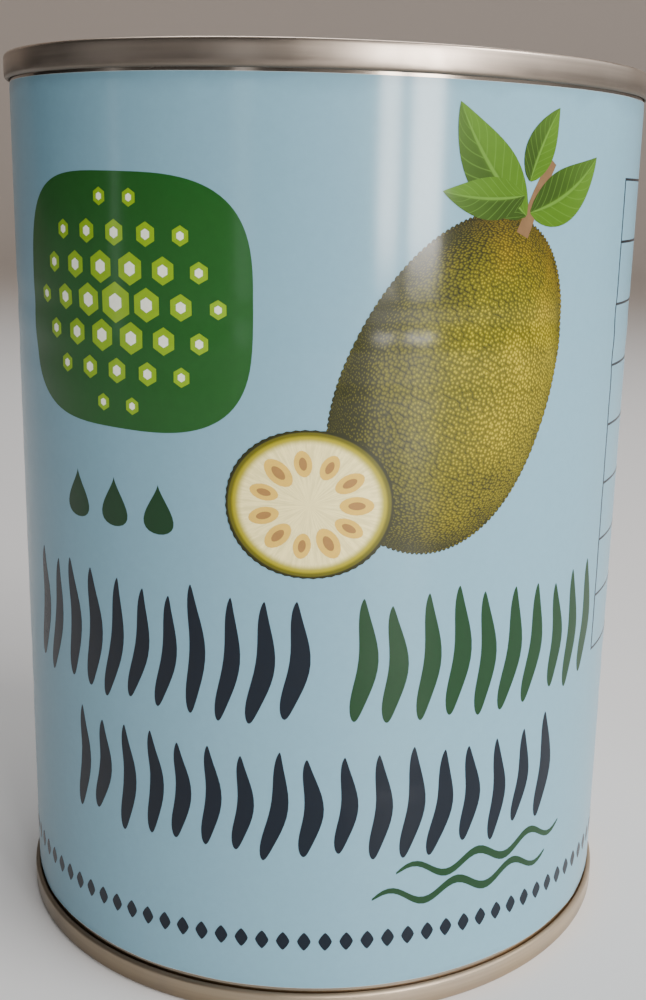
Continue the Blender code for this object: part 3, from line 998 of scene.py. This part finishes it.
def turned_sheet(name, line, thickness, material, segments, closed=True):
    """A sheet whose middle surface is the (radius, height) line, turned round the can's axis."""
    outline = offset(line, thickness / 2) + list(reversed(offset(line, -thickness / 2)))
    edges = [(index, index + 1) for index in range(len(outline) - 1)]
    if closed:
        edges.append((len(outline) - 1, 0))
    else:
        outline[0].x = 0
        outline[-1].x = 0
    sweep = max(point.x for point in outline)
    source = bpy.data.meshes.new(name + "_outline")
    source.from_pydata([(point.x - sweep, -point.y, 0) for point in outline], edges, [])
    inputs = {"Sweep Radius": sweep, "Segments": segments, "Material": material}
    piece = grown_mesh(name, source, swept_outline, inputs)
    outward(piece.data)
    sharp_fold(piece)
    return piece


def end_line(bend_steps):
    """The middle surface of an end, from its centre to the tip of its cover hook, seam top at 0."""
    wall = SEAM_WALL_RADIUS - BELLY
    hook_width = wall - COVER_HOOK_RADIUS
    hook_bottom = SEAM_LENGTH - END_SHEET / 2
    corners = [(radius * MM, -depth * MM, bend * MM) for radius, depth, bend in PANEL_CORNERS]
    corners += [
        (CHUCK_WALL_RADIUS, -CHUCK_WALL_DEPTH, CHUCK_WALL_BEND),
        (CHUCK_WALL_RADIUS, -END_SHEET / 2, TOP_CORNER),
        (wall, -END_SHEET / 2, TOP_CORNER),
    ]
    for share in BELLY_SHARES:
        corners.append((SEAM_WALL_RADIUS - BELLY * (2.2 * share - 1.1) ** 2, -hook_bottom * share, 0))
    corners += [
        (wall, -hook_bottom, HOOK_OUTER_SHARE * hook_width),
        (COVER_HOOK_RADIUS, -hook_bottom, (1 - HOOK_OUTER_SHARE) * hook_width),
        (COVER_HOOK_RADIUS, -COVER_HOOK_TOP, 0),
    ]
    return rounded(corners, bend_steps)


def body_line(bend_steps):
    """The middle surface of the body, from the tip of one body hook to the other's."""
    arch = BODY_HOOK_RADIUS - BODY_MIDDLE_RADIUS
    arch_top = CAN_HEIGHT - END_SHEET - SEAL_THICKNESS - 2 * SEAM_GAP - BODY_WALL / 2
    corners = (
        (BODY_HOOK_RADIUS, CAN_HEIGHT - BODY_HOOK_END, 0),
        (BODY_HOOK_RADIUS, arch_top, arch / 2),
        (BODY_MIDDLE_RADIUS, arch_top, arch / 2),
        (BODY_MIDDLE_RADIUS, CAN_HEIGHT / 2, 0),
    )
    top_hook = rounded(corners, bend_steps)[:-1]
    beads = []
    for step in range(BEAD_STEPS * BEAD_COUNT + 1):
        dip = BEAD_DEPTH * (1 - math.cos(math.tau * step / BEAD_STEPS)) / 2
        height = BEADS_MIDDLE + BEAD_PITCH * (BEAD_COUNT / 2 - step / BEAD_STEPS)
        beads.append(Vector((BODY_MIDDLE_RADIUS - dip, height)))
    bottom_hook = [Vector((point.x, CAN_HEIGHT - point.y)) for point in reversed(top_hook)]
    return top_hook + beads + bottom_hook


def set_down(shape, centre, turn):
    """Turns a flat shape about its own middle and moves it to its centre."""
    bmesh.ops.rotate(shape, verts=shape.verts, cent=(0, 0, 0), matrix=Matrix.Rotation(turn, 3, "Z"))
    bmesh.ops.translate(shape, verts=shape.verts, vec=(centre[0], centre[1], 0))


def cut_across(shape, axis):
    """Cuts a flat shape into strips of even width, square to an axis."""
    low = min(vert.co[axis] for vert in shape.verts)
    high = max(vert.co[axis] for vert in shape.verts)
    count = int((high - low) / CUT_STEP)
    across = Vector((0, 0, 0))
    across[axis] = 1
    for step in range(1, count + 1):
        at = across * (low + (high - low) * step / (count + 1))
        parts = shape.verts[:] + shape.edges[:] + shape.faces[:]
        bmesh.ops.bisect_plane(shape, geom=parts, plane_co=at, plane_no=across, dist=SAME_POINT)


def flat_mesh(name, outlines, centre=(0, 0), turn=0.0, mapping=None):
    """Flat outlines filled, cut into narrow strips so that they can bend, and mapped to UV."""
    shape = bmesh.new()
    for outline in outlines:
        shape.faces.new([shape.verts.new((x, y, 0)) for x, y in outline])
    bmesh.ops.remove_doubles(shape, verts=shape.verts, dist=SAME_POINT)
    for face in shape.faces:
        face.normal_update()
        if face.normal.z < 0:
            face.normal_flip()
    bmesh.ops.triangulate(shape, faces=shape.faces)
    set_down(shape, (0, 0), turn)
    cut_across(shape, 0)
    cut_across(shape, 1)
    bmesh.ops.triangulate(shape, faces=[face for face in shape.faces if len(face.verts) > 4])
    if mapping:
        layer = shape.loops.layers.uv.new("UVMap")
        back = Matrix.Rotation(-turn, 3, "Z")
        for face in shape.faces:
            for loop in face.loops:
                local = back @ loop.vert.co
                loop[layer].uv = mapping(local.x, local.y)
    set_down(shape, centre, 0.0)
    return mesh_of(name + "_outline", shape)


# Outlines of the printed motifs, about their own middle, in millimetres


def in_metres(outline):
    return [(x * MM, y * MM) for x, y in outline]


def blade_outline(height, width, steps=22):
    """A slim upright blade bent to its right, widest below its middle, like a reed drawn with a brush."""
    points = []
    for side in (1, -1):
        for step in range(steps):
            along = step / steps if side == 1 else 1 - step / steps
            share = (1 - math.cos(math.pi * along)) / 2
            swell = math.sin(math.pi * share ** 0.8) ** 0.62
            lean = 0.45 * width * math.sin(math.pi * share) ** 2
            points.append((side * width / 2 * swell + lean, height * (share - 0.5)))
    return points


def oval_outline(half_width, half_height, steps, power=2.0, egg=0.0, teeth=0, tooth=0.0):
    """An oval, blunter for a higher power, fuller at its foot for egg below 0, with small teeth."""
    points = []
    for step in range(steps):
        turn = math.tau * step / steps
        across = math.copysign(abs(math.cos(turn)) ** (2 / power), math.cos(turn))
        along = math.copysign(abs(math.sin(turn)) ** (2 / power), math.sin(turn))
        bump = 1 + tooth * abs(math.sin(turn * teeth / 2))
        points.append((half_width * across * (1 + egg * along) * bump, half_height * along * bump))
    return points


def hexagon_outline(radius):
    turns = [math.tau * side / 6 for side in range(6)]
    return [(radius * math.sin(turn), radius * math.cos(turn)) for turn in turns]


def box_corners(width, height):
    return [(x * width / 2, y * height / 2) for x, y in ((-1, -1), (1, -1), (1, 1), (-1, 1))]


def frame_outlines(width, height):
    """The four mitred bars of a ruled frame."""
    outer = box_corners(width, height)
    inner = box_corners(width - 2 * RULE_WIDTH, height - 2 * RULE_WIDTH)
    return [(outer[side - 1], outer[side], inner[side], inner[side - 1]) for side in range(4)]


def drop_outline(half_width, half_height, steps=28):
    """A drop with its point up."""
    turns = [math.tau * step / steps for step in range(steps)]
    return [
        (half_width * math.sin(turn) * (1 - math.cos(turn)) / 1.3, half_height * math.cos(turn))
        for turn in turns
    ]


def ripple_outlines(length, rise, width, waves, steps=40):
    """A wavy brush stroke as a row of short four-sided pieces."""
    pieces = []
    for step in range(steps):
        corners = []
        for share, side in ((step, -1), (step + 1, -1), (step + 1, 1), (step, 1)):
            along = share / steps
            body = width / 2 * (0.25 + 0.75 * math.sin(math.pi * along) ** 0.5)
            corners.append((length * (along - 0.5), rise * math.sin(math.tau * waves * along) + side * body))
        pieces.append(corners)
    return pieces


def leaf_mesh(name, length, width, bend, centre, turn, rows=20, columns=8):
    """A pointed leaf along a bent midrib, its UV running -1 to 1 across and 0 to 1 along."""
    shape = bmesh.new()
    layer = shape.loops.layers.uv.new("UVMap")
    grid = []
    spots = {}
    for row in range(rows + 1):
        along = row / rows
        heading = bend * along
        middle = Vector((math.sin(heading / 2), math.cos(heading / 2))) * length * along
        half = width / 2 * math.sin(math.pi * along ** 0.8) ** 0.9 + LEAF_FOOT * (1 - along) ** 4
        side = Vector((math.cos(heading), -math.sin(heading)))
        grid.append([])
        for column in range(columns + 1):
            across = 2 * column / columns - 1
            vert = shape.verts.new((*(middle + side * half * across), 0))
            spots[vert] = (across, along)
            grid[-1].append(vert)
    bridge(shape, grid)
    for face in shape.faces:
        for loop in face.loops:
            loop[layer].uv = spots[loop.vert]
    set_down(shape, centre, turn)
    return mesh_of(name + "_outline", shape)


def egg_mapping(half_width, half_height, egg):
    """UV on which the fruit's outline is the unit circle."""
    def mapping(x, y):
        along = max(-1.0, min(1.0, y / half_height))
        return (x / (half_width * (1 + egg * along)), along)
    return mapping


# Printing on the label


def printed(name, source, ink, layer=0, group=ink_film, values=None):
    """A print made by a node group from a flat mesh and set on the label."""
    dip = bpy.context.scene.food_can_label.dip
    inputs = {"Top": INK_LAYER[layer], "Dip": dip, "Ink": ink, **(values or {})}
    piece = grown_mesh(name, source, group, inputs)
    sharp_fold(piece)
    on_can(piece, "label_paper")


def at(x, y):
    """A flat place in millimetres as a vector in metres."""
    return (x * MM, y * MM, 0.0)


def print_row(name, outlines, ink, count, start, pitch, layer=0, values=None):
    """Copies of one motif in a straight row, start and pitch in millimetres."""
    inputs = {"Count": count, "Start": at(*start), "Pitch": at(*pitch), **(values or {})}
    source = flat_mesh(name, [in_metres(outline) for outline in outlines])
    printed(name, source, ink, layer, ink_row, inputs)


def print_lattice(name, radius, ink, centre, pitch, half_width, half_height, layer=0):
    """Hexagons in an oval lattice, in millimetres."""
    source = flat_mesh(name, [in_metres(hexagon_outline(radius))])
    reach = {"Half Width": half_width * MM, "Half Height": half_height * MM}
    printed(name, source, ink, layer, ink_lattice, {"Centre": at(*centre), "Pitch": pitch * MM, **reach})


def print_ruled_panel(name, centre, size, rules, ink, layer=0):
    """A thin frame with evenly spaced rules across it, in millimetres."""
    (right, up), (width, height) = centre, size
    bars = [in_metres(bar) for bar in frame_outlines(width, height)]
    printed(f"{name}_frame", flat_mesh(name, bars, at(right, up)), ink, layer)
    step = height / (rules + 1)
    rule = [box_corners(width, RULE_WIDTH)]
    print_row(f"{name}_rules", rule, ink, rules, (right, up - height / 2 + step), (0, step), layer)


# Operators


class FOODCAN_OT_metal(bpy.types.Operator):
    """Turn the body, both ends and the lining rings from their outlines"""

    bl_idname = "food_can.metal"
    bl_label = "Turn the tinplate"

    def execute(self, context):
        settings = context.scene.food_can_metal
        segments = settings.segments
        end_finish = tinplate_material("end_tinplate", settings)
        body_finish = tinplate_material("body_tinplate", settings, weld=True)
        lining = lining_material("lining_compound", settings)
        body = turned_sheet("body_sheet", body_line(settings.bend_steps), BODY_WALL, body_finish, segments)
        on_can(body, "body_tinplate", "can_body")
        end_middle = end_line(settings.bend_steps)
        depth = END_SHEET + SEAM_GAP + SEAL_THICKNESS / 2
        seal_radii = (BODY_MIDDLE_RADIUS + SEAM_GAP, BODY_HOOK_RADIUS - SEAM_GAP)
        seal_middle = [Vector((radius, -depth)) for radius in seal_radii]
        places = {
            "top": Matrix.Translation((0, 0, CAN_HEIGHT)),
            "bottom": Matrix.Rotation(math.pi, 4, "X"),
        }
        for side, place in places.items():
            end = turned_sheet(f"end_sheet_{side}", end_middle, END_SHEET, end_finish, segments, closed=False)
            seal = turned_sheet(f"seal_ring_{side}", seal_middle, SEAL_THICKNESS, lining, segments // 2)
            end.data.transform(place)
            seal.data.transform(place)
            on_can(end, "end_tinplate", f"end_{side}")
            on_can(seal, "lining_compound", f"seal_{side}")
        return {"FINISHED"}


class FOODCAN_OT_label(bpy.types.Operator):
    """Wrap the paper label round the body"""

    bl_idname = "food_can.label"
    bl_label = "Wrap the label"

    def execute(self, context):
        settings = context.scene.food_can_label
        paper = paper_material("label_paper", settings)
        start = -math.pi * LABEL_RADIUS
        length = math.radians(OVERLAP) * LABEL_RADIUS - 2 * start
        places = [start + length * column / (LABEL_COLUMNS - 1) for column in range(LABEL_COLUMNS)]
        shape = bmesh.new()
        bridge(shape, [[shape.verts.new((x, height, 0)) for x in places] for height in label_heights()])
        values = {"Root": -settings.thickness, "Top": 0.0, "Edge Press": settings.press}
        inputs = {"Dip": settings.dip, "Ink": paper, **values}
        piece = grown_mesh("paper_label", mesh_of("label_outline", shape), ink_film, inputs)
        sharp_fold(piece)
        on_can(piece, "label_paper", "label")
        return {"FINISHED"}


def label_heights():
    """Heights of the label's rows, close together at its pressed edges."""
    low = LABEL_LOW + EDGE_ROWS[-1] * MM
    high = LABEL_HIGH - EDGE_ROWS[-1] * MM
    heights = [LABEL_LOW + step * MM for step in EDGE_ROWS]
    heights += [low + (high - low) * step / LABEL_ROWS for step in range(1, LABEL_ROWS)]
    return heights + [LABEL_HIGH - step * MM for step in reversed(EDGE_ROWS)]


class FOODCAN_OT_blades(bpy.types.Operator):
    """Print the rows of tall blades and the dotted line"""

    bl_idname = "food_can.blades"
    bl_label = "Print the blades"

    def execute(self, context):
        seed = context.scene.food_can_print.draw_seed
        navy = plain_ink("navy_ink", "navy")
        green = plain_ink("green_ink", "green")
        by_hand = {"Tilt Spread": math.radians(5), "Size Spread": 0.10, "Shift Spread": 0.6 * MM}
        # Each row's name, ink, number of blades, start, height, width, pitch and step of the seed
        rows = (
            ("blades_upper_navy", navy, 11, (-43.5, 47.0), 15.0, 2.3, 4.0, 1),
            ("blades_upper_green", green, 10, (4.5, 47.0), 15.0, 2.3, 4.0, 2),
            ("blades_lower_navy", navy, 17, (-34.0, 28.5), 13.5, 2.2, 4.1, 3),
        )
        for name, ink, count, start, height, width, pitch, step in rows:
            values = {"Tilt": math.radians(-4), "Seed": seed + step, **by_hand}
            print_row(name, [blade_outline(height, width)], ink, count, start, (pitch, 0), values=values)
        dot = [oval_outline(0.85, 1.25, 16, 1.3)]
        print_row("dotted_line", dot, navy, 92, (-119.2, 10.3), (2.62, 0), values={"Seed": seed})
        return {"FINISHED"}


class FOODCAN_OT_plaque(bpy.types.Operator):
    """Print the dark plaque with its lattice of hexagons"""

    bl_idname = "food_can.plaque"
    bl_label = "Print the plaque"

    def execute(self, context):
        green = plain_ink("plaque_green_ink", "plaque")
        lime = plain_ink("lime_ink", "lime")
        cream = plain_ink("cream_ink", "cream")
        centre = (-25.5, 87.5)
        plaque = in_metres(oval_outline(17.5, 14.5, 96, 3.4))
        printed("plaque", flat_mesh("plaque", [plaque], at(*centre)), green)
        print_lattice("plaque_lattice", 2.35, lime, centre, 4.5, 15.3, 12.6, 1)
        print_lattice("plaque_lattice_dots", 1.05, cream, centre, 4.5, 15.3, 12.6, 2)
        return {"FINISHED"}


class FOODCAN_OT_fruit_picture(bpy.types.Operator):
    """Print the whole fruit, the cut fruit and their leaves"""

    bl_idname = "food_can.fruit_picture"
    bl_label = "Print the fruit"

    def execute(self, context):
        inks = context.scene.food_can_print
        label = context.scene.food_can_label
        crown, lean = print_whole_fruit(inks, label)
        print_stalk_and_leaves(inks, label, crown, lean)
        print_cut_fruit(inks, label)
        return {"FINISHED"}


def print_whole_fruit(inks, label):
    """The leaning fruit. Returns where its stalk grows, and its lean."""
    half_width, half_height, egg = 13.2 * MM, 20.0 * MM, -0.05
    skin = skin_material("skin_ink", inks, label, half_width, half_height)
    centre = Vector((15.5 * MM, 79.5 * MM))
    lean = math.radians(-24)
    outline = oval_outline(half_width, half_height, 480, 2.15, egg, 160, 0.012)
    mapping = egg_mapping(half_width, half_height, egg)
    printed("fruit_whole", flat_mesh("fruit_whole", [outline], centre, lean, mapping), skin)
    return centre + Vector((-math.sin(lean), math.cos(lean))) * half_height * 0.97, lean


def print_stalk_and_leaves(inks, label, crown, lean):
    leaf = leaf_material("leaf_ink", inks, label)
    stalk = plain_ink("stalk_ink", "stalk", 0.10)
    stem = ((-0.9, -1.0), (0.9, -1.0), (0.75, 4.0), (1.1, 8.0), (-0.3, 8.3), (-0.75, 4.0))
    printed("fruit_stalk", flat_mesh("fruit_stalk", [in_metres(stem)], crown, lean), stalk, 1)
    # Each leaf's length, width, bend, root from the crown, turn in degrees and ink layer
    leaves = (
        (15.0, 6.6, 0.5, (0.0, 1.2), 52, 2),
        (13.0, 6.0, -0.6, (0.6, 1.6), -78, 2),
        (10.5, 4.6, 0.4, (-0.4, 3.4), 100, 3),
        (9.0, 4.2, 0.3, (0.3, 5.0), -18, 3),
    )
    for number, (length, width, bend, root, turn, layer) in enumerate(leaves, 1):
        name = f"leaf_{number}"
        foot = crown + Vector(root) * MM
        source = leaf_mesh(name, length * MM, width * MM, bend, foot, math.radians(turn))
        printed(name, source, leaf, layer)


def print_cut_fruit(inks, label):
    """The cut fruit with its rings of pods and seeds."""
    centre = (-1.5, 66.0)
    width, height = 9.6 * MM, 8.6 * MM
    flesh = flesh_material("flesh_ink", inks, label)
    pod = plain_ink("pod_ink", "pod")
    kernel = plain_ink("seed_ink", "seed")
    rind = oval_outline(width, height, 120, 2.1, 0.0, 60, 0.012)
    cut = flat_mesh("fruit_cut", [rind], at(*centre), 0.0, egg_mapping(width, height, 0.0))
    printed("fruit_cut", cut, flesh, 2)
    ring = {"Centre": at(*centre), "Count": 11, "Ring Radius": 5.4 * MM, "Squash": height / width}
    spread = {"Size Spread": 0.12, "Seed": inks.draw_seed}
    rings = (("fruit_pods", pod, (1.15, 1.9), 3), ("fruit_seeds", kernel, (0.5, 0.95), 4))
    for name, ink, size, layer in rings:
        source = flat_mesh(name, [in_metres(oval_outline(*size, 18, 1.9))])
        printed(name, source, ink, layer, ink_ring, {**ring, **spread})


class FOODCAN_OT_panels(bpy.types.Operator):
    """Print the ruled panels at the sides, the drops, the ripples and the marks towards the back"""

    bl_idname = "food_can.panels"
    bl_label = "Print the panels"

    def execute(self, context):
        seed = context.scene.food_can_print.draw_seed
        navy = plain_ink("rule_ink", "navy")
        green = plain_ink("ripple_ink", "green")
        lime = plain_ink("mark_ink", "lime")
        cream = plain_ink("panel_ink", "cream")
        drop = [drop_outline(2.1, 3.0)]
        print_ruled_panel("panel_right", (61.5, 72), (34, 62), 7, navy)
        print_row("drops", drop, green, 3, (-33, 64), (6.6, 0))
        print_row("ripples", ripple_outlines(27.0, 1.0, 1.15, 3), green, 2, (20.5, 15.8), (3.0, 3.3))
        left_plate = in_metres(oval_outline(17.5, 28.0, 120, 9.0))
        printed("panel_left", flat_mesh("panel_left", [left_plate], at(-84, 68)), cream)
        print_ruled_panel("panel_left", (-84, 68), (29, 50), 6, navy, 1)
        print_row("marks_left", [hexagon_outline(2.6)], lime, 4, (-96, 28), (8, 0))
        print_row("marks_back_left", [hexagon_outline(1.6)], lime, 9, (-112, 28), (0, 8.5))
        print_lattice("marks_right", 2.6, lime, (102, 82), 4.9, 12.5, 15)
        print_row("drops_right", drop, green, 3, (95.4, 54), (6.6, 0))
        uneven = {"Tilt Spread": math.radians(5), "Size Spread": 0.10, "Seed": seed + 9}
        print_row("blades_right", [blade_outline(13.5, 2.2)], navy, 8, (88, 30), (4.1, 0), values=uneven)
        return {"FINISHED"}


class FOODCAN_OT_contents(bpy.types.Operator):
    """Give the fruit its fibres and the water its clearness"""

    bl_idname = "food_can.contents"
    bl_label = "Dress the contents"

    def execute(self, context):
        settings = context.scene.food_can_contents
        flesh = fruit_material("jackfruit", settings)
        for node in CHUNK_NODES:
            name = node.replace("jackfruit_chunk", "fruit_wedge")
            inputs = {"Depth": settings.ripple, "Material": flesh}
            piece = grown_mesh(name, even_block(node), fruit_flesh, inputs)
            on_can(piece, "jackfruit", node)
        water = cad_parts["packing_water"]
        water.data.materials.clear()
        water.data.materials.append(water_material("packing_water", settings))
        return {"FINISHED"}


def even_block(node):
    """The node's solid with small facets of even size."""
    shape = bmesh.new()
    shape.from_mesh(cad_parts[node].data)
    bmesh.ops.remove_doubles(shape, verts=shape.verts, dist=0.001 * MM)
    block = linked(node + "_block", mesh_of(node + "_block", shape))
    remesh = block.modifiers.new("even", "REMESH")
    remesh.mode = "VOXEL"
    remesh.voxel_size = FRUIT_FACET
    return evaluated_mesh(block)


class FOODCAN_OT_stage(bpy.types.Operator):
    """Lay the floor, hang the lights and set the camera"""

    bl_idname = "food_can.stage"
    bl_label = "Set the stage"

    def execute(self, context):
        settings = context.scene.food_can_stage
        lay_floor(settings)
        hang_lights(settings)
        light_room(settings)
        set_camera()
        return {"FINISHED"}


def lay_floor(settings):
    """A pale floor that curves up into a backdrop."""
    line = [(FLOOR_NEAR, 0.0), (FLOOR_FAR, 0.0)]
    for step in range(1, CURVE_STEPS + 1):
        turn = math.pi / 2 * step / CURVE_STEPS
        line.append((FLOOR_FAR + FLOOR_CURVE * math.sin(turn), FLOOR_CURVE * (1 - math.cos(turn))))
    line.append((FLOOR_FAR + FLOOR_CURVE, FLOOR_TOP))
    shape = bmesh.new()
    sides = (-FLOOR_HALF_WIDTH, FLOOR_HALF_WIDTH)
    bridge(shape, [[shape.verts.new((x, y, z)) for x in sides] for y, z in line])
    mesh = mesh_of("floor", shape)
    mesh.materials.append(floor_material("floor", settings))
    mesh.shade_smooth()
    linked("floor", mesh)


def hang_lights(settings):
    """A window of two panes, two slim ones to its left, and soft key and overhead lights."""
    # Each light's name, azimuth, distance, height, width and length, power and colour
    lights = (
        ("key", 60, 0.75, 0.70, (0.50, 0.40), settings.key, WARM),
        ("window_right_pane", 32, 0.70, 0.145, (0.13, 0.19), RIGHT_PANE * settings.window, WARM),
        ("window_left_pane", 19.5, 0.70, 0.145, (0.08, 0.19), LEFT_PANE * settings.window, WARM),
        ("left_window", -28, 0.80, 0.11, (0.075, 0.26), settings.glint, COOL),
        ("far_window", -76, 0.80, 0.11, (0.055, 0.26), FAR_WINDOW * settings.glint, COOL),
        ("overhead", 190, 0.30, 0.72, (0.60, 0.30), settings.overhead, NEUTRAL),
    )
    for name, azimuth, distance, height, size, power, colour in lights:
        light = bpy.data.lights.new(name, "AREA")
        light.shape = "RECTANGLE"
        light.size, light.size_y = size
        light.energy = power
        light.color = colour
        item = linked(name, light)
        angle = math.radians(azimuth)
        item.location = (distance * math.sin(angle), -distance * math.cos(angle), height)
        item.rotation_euler = (LIGHTS_AIM - item.location).to_track_quat("-Z", "Y").to_euler()


def light_room(settings):
    """A room that is brighter on one side and overhead, with a broad glow in front of the can."""
    world = bpy.data.worlds.new("room")
    world.use_nodes = True
    nodes = Nodes(world.node_tree)
    way = nodes.put("ShaderNodeTexCoord", output="Generated")

    def facing(azimuth, height):
        turn = math.radians(azimuth)
        return nodes.vector("DOT_PRODUCT", way, (math.sin(turn), -math.cos(turn), height))

    level = nodes.maths("POWER", facing(BRIGHT_SIDE, 0.0).ramped(-1.0, 1.0), settings.slant) * settings.room
    level = level * nodes.split(way)[2].eased(0.0, HORIZON_HEIGHT, HORIZON_SHADE, 1.0)
    level = level + facing(GLOW_SIDE, GLOW_HEIGHT).ramped(GLOW_START, 1.0, 0.0, settings.glow)
    seen = nodes.put("ShaderNodeLightPath", output="Is Camera Ray")
    sky = world.node_tree.nodes["Background"].inputs
    nodes.feed(sky["Color"], ROOM_COLOUR)
    lighting = nodes.maths("MAXIMUM", level, DARKEST)
    nodes.feed(sky["Strength"], seen.ramped(0.0, 1.0, lighting, SKY_SHOWN))
    bpy.context.scene.world = world


def set_camera():
    """The photograph's own camera: place, aim, roll and lens."""
    data = bpy.data.cameras.new("camera")
    data.sensor_fit = "AUTO"
    data.sensor_width = SENSOR
    longest = max(IMAGE_SIZE)
    data.lens = FOCAL_PIXELS * SENSOR / longest
    data.shift_x = (IMAGE_SIZE[0] / 2 - CENTRE_PIXEL[0]) / longest
    data.shift_y = (CENTRE_PIXEL[1] - IMAGE_SIZE[1] / 2) / longest
    data.clip_start = 0.01
    camera = linked("camera", data)
    aim = Matrix.Rotation(-CAMERA_YAW, 4, "Z") @ Matrix.Rotation(math.pi / 2 - CAMERA_PITCH, 4, "X")
    camera.matrix_world = Matrix.Translation(CAMERA_PLACE) @ aim @ Matrix.Rotation(-CAMERA_ROLL, 4, "Z")
    bpy.context.scene.camera = camera


# The add-on


OPERATORS = (
    FOODCAN_OT_stage,
    FOODCAN_OT_metal,
    FOODCAN_OT_label,
    FOODCAN_OT_blades,
    FOODCAN_OT_plaque,
    FOODCAN_OT_fruit_picture,
    FOODCAN_OT_panels,
    FOODCAN_OT_contents,
)
SETTINGS = {
    "food_can_metal": FoodCanMetal,
    "food_can_label": FoodCanLabel,
    "food_can_print": FoodCanPrint,
    "food_can_contents": FoodCanContents,
    "food_can_stage": FoodCanStage,
}


class FOODCAN_PT_panel(bpy.types.Panel):
    """Lists the steps that dress the can"""

    bl_idname = "FOODCAN_PT_panel"
    bl_label = "Food can"
    bl_space_type = "VIEW_3D"
    bl_region_type = "UI"
    bl_category = "Food can"

    def draw(self, context):
        for operator in OPERATORS:
            self.layout.operator(operator.bl_idname)
        for name in SETTINGS:
            box = self.layout.box()
            group = getattr(context.scene, name)
            for setting in group.bl_rna.properties:
                if setting.identifier not in ("rna_type", "name"):
                    box.prop(group, setting.identifier)


def register():
    for name, group in SETTINGS.items():
        bpy.utils.register_class(group)
        setattr(bpy.types.Scene, name, bpy.props.PointerProperty(type=group))
    for kind in (*OPERATORS, FOODCAN_PT_panel):
        bpy.utils.register_class(kind)


def unregister():
    for kind in (FOODCAN_PT_panel, *reversed(OPERATORS)):
        bpy.utils.unregister_class(kind)
    for name, group in SETTINGS.items():
        delattr(bpy.types.Scene, name)
        bpy.utils.unregister_class(group)


def main():
    register()
    for operator in OPERATORS:
        area, step = operator.bl_idname.split(".")
        getattr(getattr(bpy.ops, area), step)()


if __name__ == "__main__":
    main()
